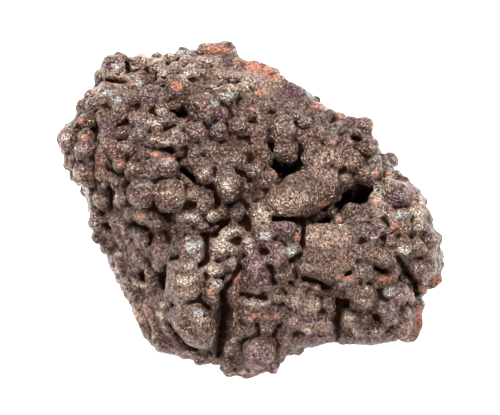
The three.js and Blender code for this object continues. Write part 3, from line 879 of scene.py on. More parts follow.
    # Cracks: u, v, u, v, half width, depth.
    CRACKS = (
        (-24.8, 29.6, -24.5, 27.5, 0.35, 2.0), (-28.6, 25.9, -25.4, 25.5, 0.3, 1.2),
        (-16.6, 15.9, -14.6, 16.8, 0.3, 1.5), (-20.6, 12.3, -15.8, 11.8, 0.35, 2.2),
        (-15.8, 11.8, -13.8, 9.8, 0.35, 2.2), (-13.2, 8.2, -11.0, 6.0, 0.6, 3.0),
        (-10.8, 5.4, -7.4, 4.5, 0.4, 2.5), (-7.3, 4.4, -6.0, 2.0, 0.45, 2.5),
        (-1.8, 2.4, -0.6, 0.4, 0.4, 2.2), (-28.2, 5.4, -27.2, 3.6, 0.4, 2.5),
        (-27.2, 3.6, -27.3, 0.4, 0.35, 2.5), (-33.4, 10.1, -31.2, 10.2, 0.3, 1.6),
        (-22.6, -2.6, -20.6, -3.4, 0.3, 1.6), (-20.6, -3.4, -19.2, -5.0, 0.35, 2.0),
        (-19.2, -5.0, -19.6, -6.6, 0.3, 1.6), (-8.4, -5.6, -8.4, -9.8, 0.5, 3.0),
        (-8.4, -9.8, -9.6, -10.6, 0.4, 2.0), (-6.8, -4.6, -5.0, -2.8, 0.4, 2.0),
        (-9.0, -4.7, -6.8, -4.8, 0.5, 2.0), (-4.0, -14.2, -1.9, -11.2, 0.4, 2.2),
        (-4.4, -14.8, -5.4, -16.4, 0.45, 3.0), (-5.3, -16.4, -5.0, -19.4, 0.8, 8.0),
        (-5.0, -19.4, -5.5, -24.4, 1.3, 12.0), (-5.5, -24.4, -6.2, -28.6, 1.0, 10.0),
        (-6.2, -28.6, -6.2, -31.0, 0.8, 9.0), (-15.7, -22.4, -14.6, -24.2, 0.5, 3.0),
        (-14.6, -24.2, -12.6, -26.6, 0.6, 3.5), (-12.4, -26.8, -8.0, -27.9, 0.3, 2.0),
        (-9.6, -17.6, -7.4, -19.4, 0.25, 1.6), (4.6, -13.9, 8.0, -14.2, 0.3, 1.6),
        (7.8, -9.8, 9.6, -8.6, 0.3, 1.6), (4.4, -1.8, 10.0, -1.9, 0.4, 2.5),
        (10.2, -4.4, 10.3, -6.6, 0.3, 1.6), (10.6, -13.4, 14.4, -14.2, 0.4, 2.4),
        (16.2, -14.2, 19.4, -12.1, 0.3, 2.0), (28.8, -9.0, 30.6, -12.0, 0.4, 3.0),
        (30.6, -12.0, 32.6, -14.6, 0.6, 6.0), (32.6, -14.6, 33.2, -16.8, 0.7, 8.0),
        (23.3, -2.4, 23.7, -1.3, 0.3, 1.6), (23.7, -1.3, 26.2, -1.7, 0.3, 1.6),
        (26.2, -1.7, 27.2, -3.3, 0.35, 2.0), (17.6, -19.6, 17.2, -21.6, 0.5, 4.0),
        (17.2, -21.6, 17.7, -25.6, 0.6, 6.0), (23.6, -19.6, 25.4, -21.8, 0.35, 2.2),
        (20.2, -19.9, 23.4, -19.8, 0.25, 1.5), (-1.5, -26.0, -1.4, -29.8, 0.3, 1.6),
        (-1.2, -25.4, 1.6, -24.4, 0.3, 1.6), (1.4, -22.2, 1.8, -24.2, 0.25, 1.5),
        (15.4, 17.1, 17.0, 18.0, 0.25, 1.5), (4.0, -10.6, 4.6, -14.4, 0.25, 1.5),
        (-1.6, -16.4, 3.2, -17.2, 0.3, 0.8), (-16.4, -11.4, -16.9, -15.4, 0.35, 2.2),
        (-0.4, -3.4, -0.8, -1.6, 0.5, 2.0),
    )
    # Cracks taper to a share of their depth, and are cut from this far above the front.
    CRACK_DEPTH = 0.5
    CRACK_CLEARANCE = 6.0

    # How uneven the walls of pits and cracks and the lumps are, and how their edges blend.
    PIT_UNEVEN = 0.5
    CRACK_UNEVEN = 0.3
    UNEVEN_LUMPS = 0.14
    CUT_BLEND = 0.8
    FILLET = 0.25
    MARGIN = 2.0

    # Flat fractures: azimuth and elevation of the outward normal, distance from the middle of the stone.
    FRACTURES = (
        (88, 2, 34.2), (40, 6, 33.4), (136, 2, 41.0), (62, 26, 37.6), (180, -42, 31.0), (-8, -44, 32.0),
        (-90, -48, 29.6), (90, -44, 31.0), (225, -30, 36.0), (-48, -38, 36.6), (45, -36, 33.0),
        (132, -34, 35.0),
    )

    # How deep below the front the crust still grows, and how near a broken face it stops.
    CRUST_DEPTHS = (22, 13)
    BREAK_FADE = (0.8, 2.6)

    # What roughens the broken faces: waves, scallops and grain, and their heights.
    BREAK_WAVES = Noise(23, 6.5, 4)
    BREAK_SCALLOPS = Noise(24, 4.2)
    BREAK_GRAIN = Noise(21, 3.4, 3)
    WAVE_HEIGHT = 0.75
    SCALLOP_HEIGHT = 0.9
    BREAK_GRAIN_HEIGHT = 0.5
    BREAK_BAND = 3.0

    # Close-packed lobes of the crust: their height, how much of it the smooth stretches keep, and the
    # part of a lobe that stays at the old level.
    LOBES = Noise(32, 2.1)
    LOBE_HEIGHT = 0.3
    LEAST_LOBE = 0.25
    LOBE_LEVEL = 0.4

    # Stretches of the face that stay smooth, without scattered balls: u, v, radius.
    SMOOTH = (
        (1.0, 29.4, 5.0), (-7.4, 32.2, 3.0), (-21.0, -21.0, 4.0), (-25.0, -5.0, 3.4), (-17.4, -7.4, 2.8),
        (12.4, -25.0, 5.0), (3.0, -14.8, 2.6), (10.0, 23.6, 5.0), (-28.4, 16.0, 2.4), (-15.6, -27.2, 2.6),
        (32.8, 4.0, 2.4), (33.0, -21.6, 3.0), (21.8, 17.2, 2.6), (16.4, 21.4, 3.0),
        (8.0, 2.4, 3.2), (12.4, 4.4, 3.6), (16.0, -8.6, 5.0), (-10.8, -22.2, 3.6), (30.4, 2.8, 3.6),
    )

    SMOOTH_FADE = (0.75, 1.15)

    FILLERS = Sprinkle((1.0, 2.0), 0.75, (-0.8, -0.6), 0.9, 8.0, 0.4, 10)
    BEADS = Sprinkle((0.4, 0.8), 0.85, (-0.8, -0.55), 0.5, 4.0, 0.15, 12, True)
    PATCH_SEEDS = 40
    SMALL_BIAS = 1.6
    BARE_FOOT = 2.0
    KNOB_CLEARANCE = 0.95

    # Gaps narrower than this are filled to this far below the smoothed surface, and splinters that have
    # less than this share of stone round them are taken away.
    GAP_WIDTH = 1.4
    GAP_DEPTH = 0.7
    SLIVER_REACH = 1.8
    SLIVER_SHARE = 0.22

    # The finest relief of the surface, which fades out at the foot.
    GRAIN = Noise(5, 0.9, 2)
    DIMPLES = Noise(6, 1.3)
    GRAIN_HEIGHT = 0.09
    DIMPLE_HEIGHT = 0.05
    FOOT_FADE = (0.4, 1.4)

    # Masks: the reaches over which stone is counted, the weight of the near one, the shares of stone at
    # which hollows and crests start and are whole, and how tints fade over the edge and at their rims.
    # The hollow mask carries painted shade and the crest mask a painted highlight in the finish.
    MASK_REACHES = (0.8, 2.4)
    HOLLOW_WEIGHT = 0.7
    HOLLOW_SHARES = (0.52, 0.655)
    CREST_WEIGHT = 0.6
    CREST_SHARES = (0.5, 0.3)
    TINT_DEPTHS = (5, 1.5)
    TINT_RIM = (1.25, 0.45)

    def build(self) -> tuple[Array, Array, dict[str, Array]]:
        """Grow the stone.

        Returns:
            Its vertices in millimetres, its faces as rows of four vertices, and its masks by name.
        """
        self.block = Block(self.LOW, self.HIGH, self.step)
        self._cut_body()
        self._measure_fractures()
        self._cut_pits(self.HOLLOWS)
        self._add_lumps()
        self._scatter(self.FILLERS)
        self._fill_gaps()
        self._raise_lobes()
        self._cut_pits(self.PITS)
        self._cut_cracks()
        self.block.values = blend_max(self.block.values, self.broken, self.edge_blend)
        self._hackle_breaks()
        self._scatter(self.BEADS)
        self._trim_slivers()
        self._settle_base()
        self.block.make_simple()
        self.block.keep_one_body()
        vertices, faces = self.block.surface()
        vertices = self._roughened(vertices, faces)
        return vertices, faces, self._masks(vertices)

    def front(self, u: Array, v: Array) -> Array:
        """How far out the front of the stone stands.

        Args:
            u: Across the face.
            v: Up the face.

        Returns:
            The front's w.
        """
        inwards = np.clip(-self.OUTLINE.distance(u, v) / self.rim_round, 0, 1)
        w = self.front_level + self.front_slope * v + self.front_bow * v * v
        w = w + self.dome_rise * np.sqrt(1 - (1 - inwards) ** 2)
        for cu, cv, radius, height in self.SWELLS:
            w = w + height * np.exp(-((u - cu) ** 2 + (v - cv) ** 2) / radius**2)
        return w

    def _spread(self, face_map: Array, v: Array) -> Array:
        """Read a map of the face at each sample of the block.

        Args:
            face_map: Values by the block's x and the map's v.
            v: The v of the block's samples, by y and z.

        Returns:
            The values, shaped as the block.
        """
        rows = (v + self.MAP_REACH) / self.MAP_STEP
        whole = np.clip(np.floor(rows).astype(int), 0, face_map.shape[1] - 2)
        part = (rows - whole).astype(np.float32)
        return face_map[:, whole] * (1 - part) + face_map[:, whole + 1] * part

    def _cut_body(self) -> None:
        """Cut the block to the outline, the domed front and the leaning sides."""
        x, y, z = self.block.axes()
        v, w = self.face.up(y, z)[0], self.face.out(y, z)[0]
        across, along = np.meshgrid(
            x.ravel(), np.arange(-self.MAP_REACH, self.MAP_REACH, self.MAP_STEP), indexing="ij"
        )
        detailed = self._spread(self.OUTLINE.distance(across, along).astype(np.float32), v)
        plain_outline = self.OUTLINE.smoothed(self.PLAIN_ROUNDS)
        plain = self._spread(plain_outline.distance(across, along).astype(np.float32), v)
        self.level = self._spread(self.front(across, along).astype(np.float32), v)
        depth = self.level - w
        below = np.clip(depth / self.flank_depth, 0, 1)
        lean = self.flank_taper * np.maximum(depth - self.flank_depth, 0)
        flank = detailed + (plain - detailed) * below + lean - self.rim_swell
        self.block.values[:] = blend_max(flank, -depth, self.edge_blend)

    def _seat(self, u: float, v: float, sunk: float) -> Array:
        """A place on the front, or sunk below it, in the row frame."""
        return self.face.to_row(u, v, float(self.front(np.array(u), np.array(v))) - sunk)

    def _add_lumps(self) -> None:
        """Set the knobs and drips into the front."""
        for knobs in self.KNOBS.values():
            for u, v, radius in knobs:
                sink = float(np.clip(self.KNOB_SINK - self.SINK_LOSS * radius, *self.SINK_LIMITS))
                place = self._seat(u, v, sink * radius)
                uneven = self.UNEVEN_LUMPS * radius
                self.block.add_rod(place, place, self.KNOB_GROWTH * radius, self.FILLET, uneven=uneven)
        for u1, v1, u2, v2, radius, sink in self.DRIPS.values():
            start, end = self._seat(u1, v1, sink * radius), self._seat(u2, v2, sink * radius)
            self.block.add_rod(start, end, radius, 2 * self.FILLET, uneven=self.UNEVEN_LUMPS * radius)

    def _cut_pits(self, pits: Iterable[tuple[float, ...]]) -> None:
        """Hollow out pits.

        Args:
            pits: Each pit's u, v, half width, half height, turn in degrees and depth.
        """
        for cu, cv, half_width, half_height, turn, depth in pits:
            level = float(self.front(np.array(cu), np.array(cv)))
            centre = self.face.to_row(cu, cv, level)
            reach = max(half_width, half_height, depth) + self.MARGIN
            span, (x, y, z) = self.block.around(centre - reach, centre + reach)
            u, v, w = x - cu, self.face.up(y, z) - cv, self.face.out(y, z) - level
            angle = math.radians(turn)
            du = u * math.cos(angle) + v * math.sin(angle)
            dv = v * math.cos(angle) - u * math.sin(angle)
            out = np.minimum(w, 0) / depth
            apart = np.sqrt((du / half_width) ** 2 + (dv / half_height) ** 2 + out**2)
            hollow = (apart - 1) * min(half_width, half_height)
            hollow += self.PIT_UNEVEN * Block.UNEVENNESS.over(x, y, z)
            self.block.values[span] = blend_max(self.block.values[span], -hollow, self.CUT_BLEND)

    def _cut_cracks(self) -> None:
        """Open the cracks between the lobes."""
        for u1, v1, u2, v2, half_width, depth in self.CRACKS:
            sinks = (depth, -self.CRACK_CLEARANCE)
            ends = [self._seat(u, v, sunk) for u, v in ((u1, v1), (u2, v2)) for sunk in sinks]
            low, high = np.min(ends, axis=0) - self.MARGIN, np.max(ends, axis=0) + self.MARGIN
            span, (x, y, z) = self.block.around(low, high)
            v, below = self.face.up(y, z), self.level[span] - self.face.out(y, z)
            du, dv = u2 - u1, v2 - v1
            t = np.clip(((x - u1) * du + (v - v1) * dv) / (du * du + dv * dv), 0, 1)
            apart = np.hypot(x - u1 - t * du, v - v1 - t * dv)
            apart += self.CRACK_UNEVEN * Block.UNEVENNESS.over(x, y, z)
            floor = self.CRACK_DEPTH * depth
            gap = np.maximum(apart - half_width * (1 - np.clip(below / floor, 0, 1)), below - floor)
            self.block.values[span] = blend_max(self.block.values[span], -gap, self.CUT_BLEND)

    def _measure_fractures(self) -> None:
        """Find how far each sample lies past the uneven faces along which the stone is broken off."""
        x, y, z = self.block.axes()
        k = 2 * math.pi / self.hackle_length
        uneven = np.sin(k * x + 1.9 * np.sin(0.4 * k * z)) + np.sin(k * (0.8 * y + 0.7 * z) + 2)
        self.broken = np.full(self.block.shape, -np.inf, np.float32)
        for azimuth, elevation, distance in self.FRACTURES:
            a, e = math.radians(azimuth), math.radians(elevation)
            normal = (math.cos(a) * math.cos(e), math.sin(a) * math.cos(e), math.sin(e))
            plane = x * normal[0] + y * normal[1] + (z - self.face.height) * normal[2] - distance
            self.broken = np.maximum(self.broken, plane + self.hackle / 2 * uneven)
        near = np.abs(self.broken) < self.BREAK_BAND
        places = np.argwhere(near) * self.block.step + self.block.start
        self.broken[near] += self.BREAK_GRAIN_HEIGHT * self.BREAK_GRAIN.at(places)

    def _hackle_breaks(self) -> None:
        """Roughen the broken faces and the lower sides."""
        near = np.abs(self.block.values) < self.BREAK_BAND
        points = np.argwhere(near) * self.block.step + self.block.start
        waves = self.WAVE_HEIGHT * self.BREAK_WAVES.at(points)
        scallops = self.SCALLOP_HEIGHT * self.BREAK_SCALLOPS.domes(points)
        self.block.values[near] += (waves - scallops) * (1 - self._crust_share(points))

    def _fill_gaps(self) -> None:
        """Fill the narrow gaps between lumps up to a little below the smoothed surface."""
        missing = 0.5 - self.block.blurred_inside(self.GAP_WIDTH)
        smooth = 2 * self.GAP_WIDTH * missing + self.GAP_DEPTH
        self.block.values = blend_min(self.block.values, smooth, self.FILLET)

    def _raise_lobes(self) -> None:
        """Raise close-packed round lobes, with creases between them, on the rough crust."""
        near = np.abs(self.block.values) < 1.5 * self.LOBE_HEIGHT + 3 * self.block.step
        points = np.argwhere(near) * self.block.step + self.block.start
        share = self.LEAST_LOBE + (1 - self.LEAST_LOBE) * self._rough_share(points)
        rise = self.LOBE_HEIGHT * (self.LOBES.domes(points) - self.LOBE_LEVEL)
        self.block.values[near] -= rise * (self._crust_share(points) * share)

    def _crust_share(self, points: Array) -> Array:
        """Find how far each place belongs to the knobby crust rather than to a broken face.

        Args:
            points: The places in millimetres.

        Returns:
            The shares, from 0 to 1.
        """
        w = self.face.out(points[:, 1], points[:, 2])
        share = ramp(-self.block.sampled(self.broken, points), *self.BREAK_FADE)
        return share * ramp(self.block.sampled(self.level, points) - w, *self.CRUST_DEPTHS)

    def _rough_share(self, points: Array) -> Array:
        """Find how far each place is clear of the smooth stretches.

        Args:
            points: The places in millimetres.

        Returns:
            The shares, from 0 to 1.
        """
        u, v = points[:, 0], self.face.up(points[:, 1], points[:, 2])
        share = np.ones(len(points))
        near, far = self.SMOOTH_FADE
        for cu, cv, radius in self.SMOOTH:
            share *= ramp(np.hypot(u - cu, v - cv), near * radius, far * radius)
        return share

    def _free_share(self, points: Array) -> Array:
        """Find how far each place is clear of the set knobs, the drips and the smooth stretches.

        Args:
            points: The places in millimetres.

        Returns:
            The shares, from 0 to 1.
        """
        u, v = points[:, 0], self.face.up(points[:, 1], points[:, 2])
        share = self._rough_share(points)
        knobs = [(u1, v1, u1, v1, radius) for group in self.KNOBS.values() for u1, v1, radius in group]
        for u1, v1, u2, v2, radius in knobs + [drip[:5] for drip in self.DRIPS.values()]:
            du, dv = u2 - u1, v2 - v1
            t = np.clip(((u - u1) * du + (v - v1) * dv) / max(du * du + dv * dv, 1e-9), 0, 1)
            share *= np.hypot(u - u1 - t * du, v - v1 - t * dv) > self.KNOB_CLEARANCE * radius
        return share

    def _normals(self, points: Array) -> Array:
        """Find the outward normals of the stone.

        Args:
            points: Places on its surface, in millimetres.

        Returns:
            The normals, one unit row for each place.
        """
        reach = 0.8 * self.block.step
        slopes = [
            self.block.sampled(self.block.values, points + reach * side)
            - self.block.sampled(self.block.values, points - reach * side)
            for side in np.eye(3)
        ]
        slope = np.stack(slopes, axis=1)
        return slope / np.maximum(np.linalg.norm(slope, axis=1, keepdims=True), 1e-9)

    def _scatter(self, sprinkle: Sprinkle) -> None:
        """Scatter balls over the crust.

        Args:
            sprinkle: Which balls, and how thickly.
        """
        rng = np.random.default_rng(sprinkle.seed)
        points, _ = self.block.surface()
        patches = 0.5 + 0.5 * Noise(sprinkle.seed + self.PATCH_SEEDS, sprinkle.patch, 2).at(points)
        wanted = self._crust_share(points) * (patches < sprinkle.cover)
        wanted *= self._rough_share(points) if sprinkle.everywhere else self._free_share(points)
        points = points[(rng.random(len(points)) < wanted) & (points[:, 2] > self.BARE_FOOT)]
        rng.shuffle(points)
        small, large = sprinkle.radii
        radii = small + (large - small) * rng.random(len(points)) ** self.SMALL_BIAS
        kept = self._spaced(points, radii, sprinkle.spacing)
        points, radii = points[kept], radii[kept]
        normals = self._normals(points)
        lifts = rng.uniform(*sprinkle.lift, len(points)) * radii
        for place, radius in zip(points + normals * lifts[:, None], radii):
            self.block.add_rod(place, place, float(radius), sprinkle.fillet)
        log.info("scattered %d balls of %.1f to %.1f mm", len(points), small, large)

    @staticmethod
    def _spaced(points: Array, radii: Array, spacing: float) -> list[int]:
        """Choose balls that keep their distance.

        Args:
            points: Their centres, in the order in which they are tried.
            radii: Their radii.
            spacing: How close two may be, as a share of their radii's sum.

        Returns:
            The indices of the balls that stay.
        """
        cell = 2 * spacing * float(radii.max())
        cells = np.floor(points / cell).astype(int)
        beside = [(a, b, c) for a in (-1, 0, 1) for b in (-1, 0, 1) for c in (-1, 0, 1)]
        taken: dict[tuple[int, int, int], list[int]] = {}
        kept = []
        places, sizes, keys = points.tolist(), radii.tolist(), cells.tolist()
        for n, ((x, y, z), radius, (i, j, k)) in enumerate(zip(places, sizes, keys)):
            free = True
            for a, b, c in beside:
                for m in taken.get((i + a, j + b, k + c), ()):
                    px, py, pz = places[m]
                    apart = spacing * (radius + sizes[m])
                    if (x - px) ** 2 + (y - py) ** 2 + (z - pz) ** 2 < apart * apart:
                        free = False
                        break
                if not free:
                    break
            if free:
                taken.setdefault((i, j, k), []).append(n)
                kept.append(n)
        return kept

    def _trim_slivers(self) -> None:
        """Take away splinters too thin to last."""
        thin = (self.block.values < 0) & (self.block.blurred_inside(self.SLIVER_REACH) < self.SLIVER_SHARE)
        self.block.values[thin] = self.step / 2

    def _settle_base(self) -> None:
        """Cut the flat base."""
        _, _, z = self.block.axes()
        self.block.values = np.maximum(self.block.values, -z).astype(np.float32)

    def _roughened(self, vertices: Array, faces: Array) -> Array:
        """Move the vertices in and out by a fine grain, and lay the base flat.

        Args:
            vertices: The vertices in millimetres.
            faces: The faces as rows of four vertices.

        Returns:
            The moved vertices.
        """
        a, b, c, d = (vertices[faces[:, n]] for n in range(4))
        face_normals = np.cross(c - a, d - b)
        normals = np.zeros_like(vertices)
        for n in range(4):
            np.add.at(normals, faces[:, n], face_normals)
        normals /= np.maximum(np.linalg.norm(normals, axis=1, keepdims=True), 1e-9)
        grain = self.GRAIN_HEIGHT * self.GRAIN.at(vertices)
        grain = grain + self.DIMPLE_HEIGHT * (self.DIMPLES.domes(vertices) - 0.5)
        grain = grain * ramp(vertices[:, 2], *self.FOOT_FADE)
        moved = vertices + normals * grain[:, None]
        moved[vertices[:, 2] < 0.5 * self.step, 2] = 0
        return moved

    def _masks(self, vertices: Array) -> dict[str, Array]:
        """Masks for the stone's colours, and for the hollows and crests that take painted shade and painted
        highlights.

        Args:
            vertices: The vertices in millimetres.

        Returns:
            The masks by name, one value from 0 to 1 for each vertex.
        """
        near, wide = (
            self.block.sampled(self.block.blurred_inside(reach), vertices) for reach in self.MASK_REACHES
        )
        masks = {
            # Hollows, where the finish paints shade.
            "hollow": ramp(wide + self.HOLLOW_WEIGHT * (near - wide), *self.HOLLOW_SHARES),
            # Crests, where the finish paints a highlight.
            "crest": ramp(wide + self.CREST_WEIGHT * (near - wide), *self.CREST_SHARES),
            "broken": 1 - self._crust_share(vertices),
        }
        u = vertices[:, 0]
        v = self.face.up(vertices[:, 1], vertices[:, 2])
        w = self.face.out(vertices[:, 1], vertices[:, 2])
        front = ramp(self.block.sampled(self.level, vertices) - w, *self.TINT_DEPTHS)
        for tint in Tint:
            mask = np.zeros(len(vertices))
            for cu, cv, half_width, half_height in TINT_PATCHES[tint]:
                apart = np.hypot((u - cu) / half_width, (v - cv) / half_height)
                mask = np.maximum(mask, ramp(apart, *self.TINT_RIM))
            masks[tint.value] = mask * front
        return masks


class Sketch:
    """Adds and joins shader nodes in one tree."""

    def __init__(self, tree: bpy.types.NodeTree) -> None:
        """Work in a tree.

        Args:
            tree: The material's or group's node tree.
        """
        self.tree = tree

    def add(
        self, kind: str, inputs: dict[str | int, object] | None = None, **settings: object
    ) -> bpy.types.Node:
        """Add a node.

        Args:
            kind: The node's type, without ShaderNode.
            inputs: What each input gets: a socket to join, or a value.
            settings: The node's own settings.

        Returns:
            The node.
        """
        node = self.tree.nodes.new("ShaderNode" + kind)
        for name, value in settings.items():
            setattr(node, name, value)
        for key, value in (inputs or {}).items():
            self.feed(node.inputs[key], value)
        return node

    def feed(self, socket: Socket, value: object) -> None:
        """Join a socket to another, or set its value.

        Args:
            socket: The input.
            value: The output to join, or a value.
        """
        if isinstance(value, Socket):
            self.tree.links.new(value, socket)
        else:
            socket.default_value = value

    def math(self, operation: str, a: object, b: object = 0.0, clamp: bool = False) -> Socket:
        """Combine two numbers.

        Args:
            operation: The Math node's operation.
            a: The first number or socket.
            b: The second number or socket.
            clamp: Whether the result stays between 0 and 1.

        Returns:
            The result's socket.
        """
        return self.add("Math", {0: a, 1: b}, operation=operation, use_clamp=clamp).outputs[0]

    def mix(self, share: object, a: object, b: object) -> Socket:
        """Mix two colours.

        Args:
            share: How much of the second.
            a: The first colour or socket.
            b: The second colour or socket.

        Returns:
            The mixed colour's socket.
        """
        node = self.add("Mix", data_type="RGBA")
        for index, value in ((0, share), (6, a), (7, b)):
            self.feed(node.inputs[index], value)
        return node.outputs[2]

    def span(
        self, value: object, low: object, high: object, to_low: float = 0.0, to_high: float = 1.0
    ) -> Socket:
        """Map a number from one range to another, held within it.

        Args:
            value: The number's socket.
            low: The number or socket that gives to_low.
            high: The number or socket that gives to_high.
            to_low: The result at low.
            to_high: The result at high.

        Returns:
            The mapped number's socket.
        """
        return self.add("MapRange", {0: value, 1: low, 2: high, 3: to_low, 4: to_high}).outputs[0]

    def group(self, tree: bpy.types.NodeTree, inputs: dict[str, object]) -> bpy.types.Node:
        """Place a node group.

        Args:
            tree: The group.
            inputs: What each input gets.

        Returns:
            The group's node.
        """
        node = self.tree.nodes.new("ShaderNodeGroup")
        node.node_tree = tree
        for key, value in inputs.items():
            self.feed(node.inputs[key], value)
        return node


def new_group(
    name: str, inputs: dict[str, float | str], outputs: dict[str, str]
) -> tuple[Sketch, bpy.types.Node, bpy.types.Node]:
    """Start a shader node group.

    Args:
        name: The group's name.
        inputs: The default of each input number, or the type of another input.
        outputs: The type of each output.

    Returns:
        The group's sketch, its input node and its output node.
    """
    tree = bpy.data.node_groups.new(name, "ShaderNodeTree")
    for key, value in inputs.items():
        kind = value if isinstance(value, str) else "NodeSocketFloat"
        socket = tree.interface.new_socket(name=key, in_out="INPUT", socket_type=kind)
        if not isinstance(value, str):
            socket.default_value = value
    for key, kind in outputs.items():
        tree.interface.new_socket(name=key, in_out="OUTPUT", socket_type=kind)
    return Sketch(tree), tree.nodes.new("NodeGroupInput"), tree.nodes.new("NodeGroupOutput")


def mottle_group() -> bpy.types.NodeTree:
    """Build the group that breaks a colour into soft patches.

    Returns:
        The group: Place, Size in metres, Low and High in; Mask out.
    """
    sketch, given, result = new_group(
        "Mottle",
        {"Place": "NodeSocketVector", "Size": 0.01, "Low": 0.4, "High": 0.6},
        {"Mask": "NodeSocketFloat"},
    )
    scale = sketch.math("DIVIDE", 1.0, given.outputs["Size"])
    noise = sketch.add(
        "TexNoise", {"Vector": given.outputs["Place"], "Scale": scale, "Detail": 4.0, "Roughness": 0.6}
    )
    mask = sketch.span(noise.outputs["Fac"], given.outputs["Low"], given.outputs["High"])
    sketch.feed(result.inputs["Mask"], mask)
    return sketch.tree


def grain_group() -> bpy.types.NodeTree:
    """Build the group of fine close-packed grains, some of which catch the light.

    Returns:
        The group: Place, Size in metres and Share in; Height, Crease and Glint out.
    """
    sketch, given, result = new_group(
        "Grain",
        {"Place": "NodeSocketVector", "Size": 0.0004, "Share": 0.1},
        {"Height": "NodeSocketFloat", "Crease": "NodeSocketFloat", "Glint": "NodeSocketFloat"},
    )
    scale = sketch.math("DIVIDE", 1.0, given.outputs["Size"])
    cells = sketch.add("TexVoronoi", {"Vector": given.outputs["Place"], "Scale": scale})
    chance = sketch.add("SeparateColor", {"Color": cells.outputs["Color"]})
    edge = sketch.math("SUBTRACT", 1.0, given.outputs["Share"])
    domes = sketch.span(sketch.math("POWER", cells.outputs["Distance"], 2.0), 0.0, 0.55, 1.0, 0.0)
    steps = sketch.math("MULTIPLY", chance.outputs[1], 0.35)
    sketch.feed(result.inputs["Height"], sketch.math("ADD", domes, steps))
    sketch.feed(result.inputs["Crease"], sketch.span(domes, 0.45, 0.1))
    sketch.feed(result.inputs["Glint"], sketch.math("GREATER_THAN", chance.outputs[0], edge))
    return sketch.tree


@dataclass(frozen=True)
class Patches:
    """Soft patches in which a colour shows.

    Attributes:
        size: Their size in metres.
        low: The noise at which they start.
        high: The noise at which they are whole.
        share: How strongly they show.
    """

    size: float
    low: float
    high: float
    share: float = 1.0

    def mask(self, sketch: Sketch, mottle: bpy.types.NodeTree, place: Socket) -> Socket:
        """Draw the patches in a material.

        Args:
            sketch: The material's sketch.
            mottle: The group that breaks a colour into patches.
            place: The place on the stone.

        Returns:
            The patches' mask.
        """
        given = {"Place": place, "Size": self.size, "Low": self.low, "High": self.high}
        return sketch.math("MULTIPLY", sketch.group(mottle, given).outputs["Mask"], self.share)


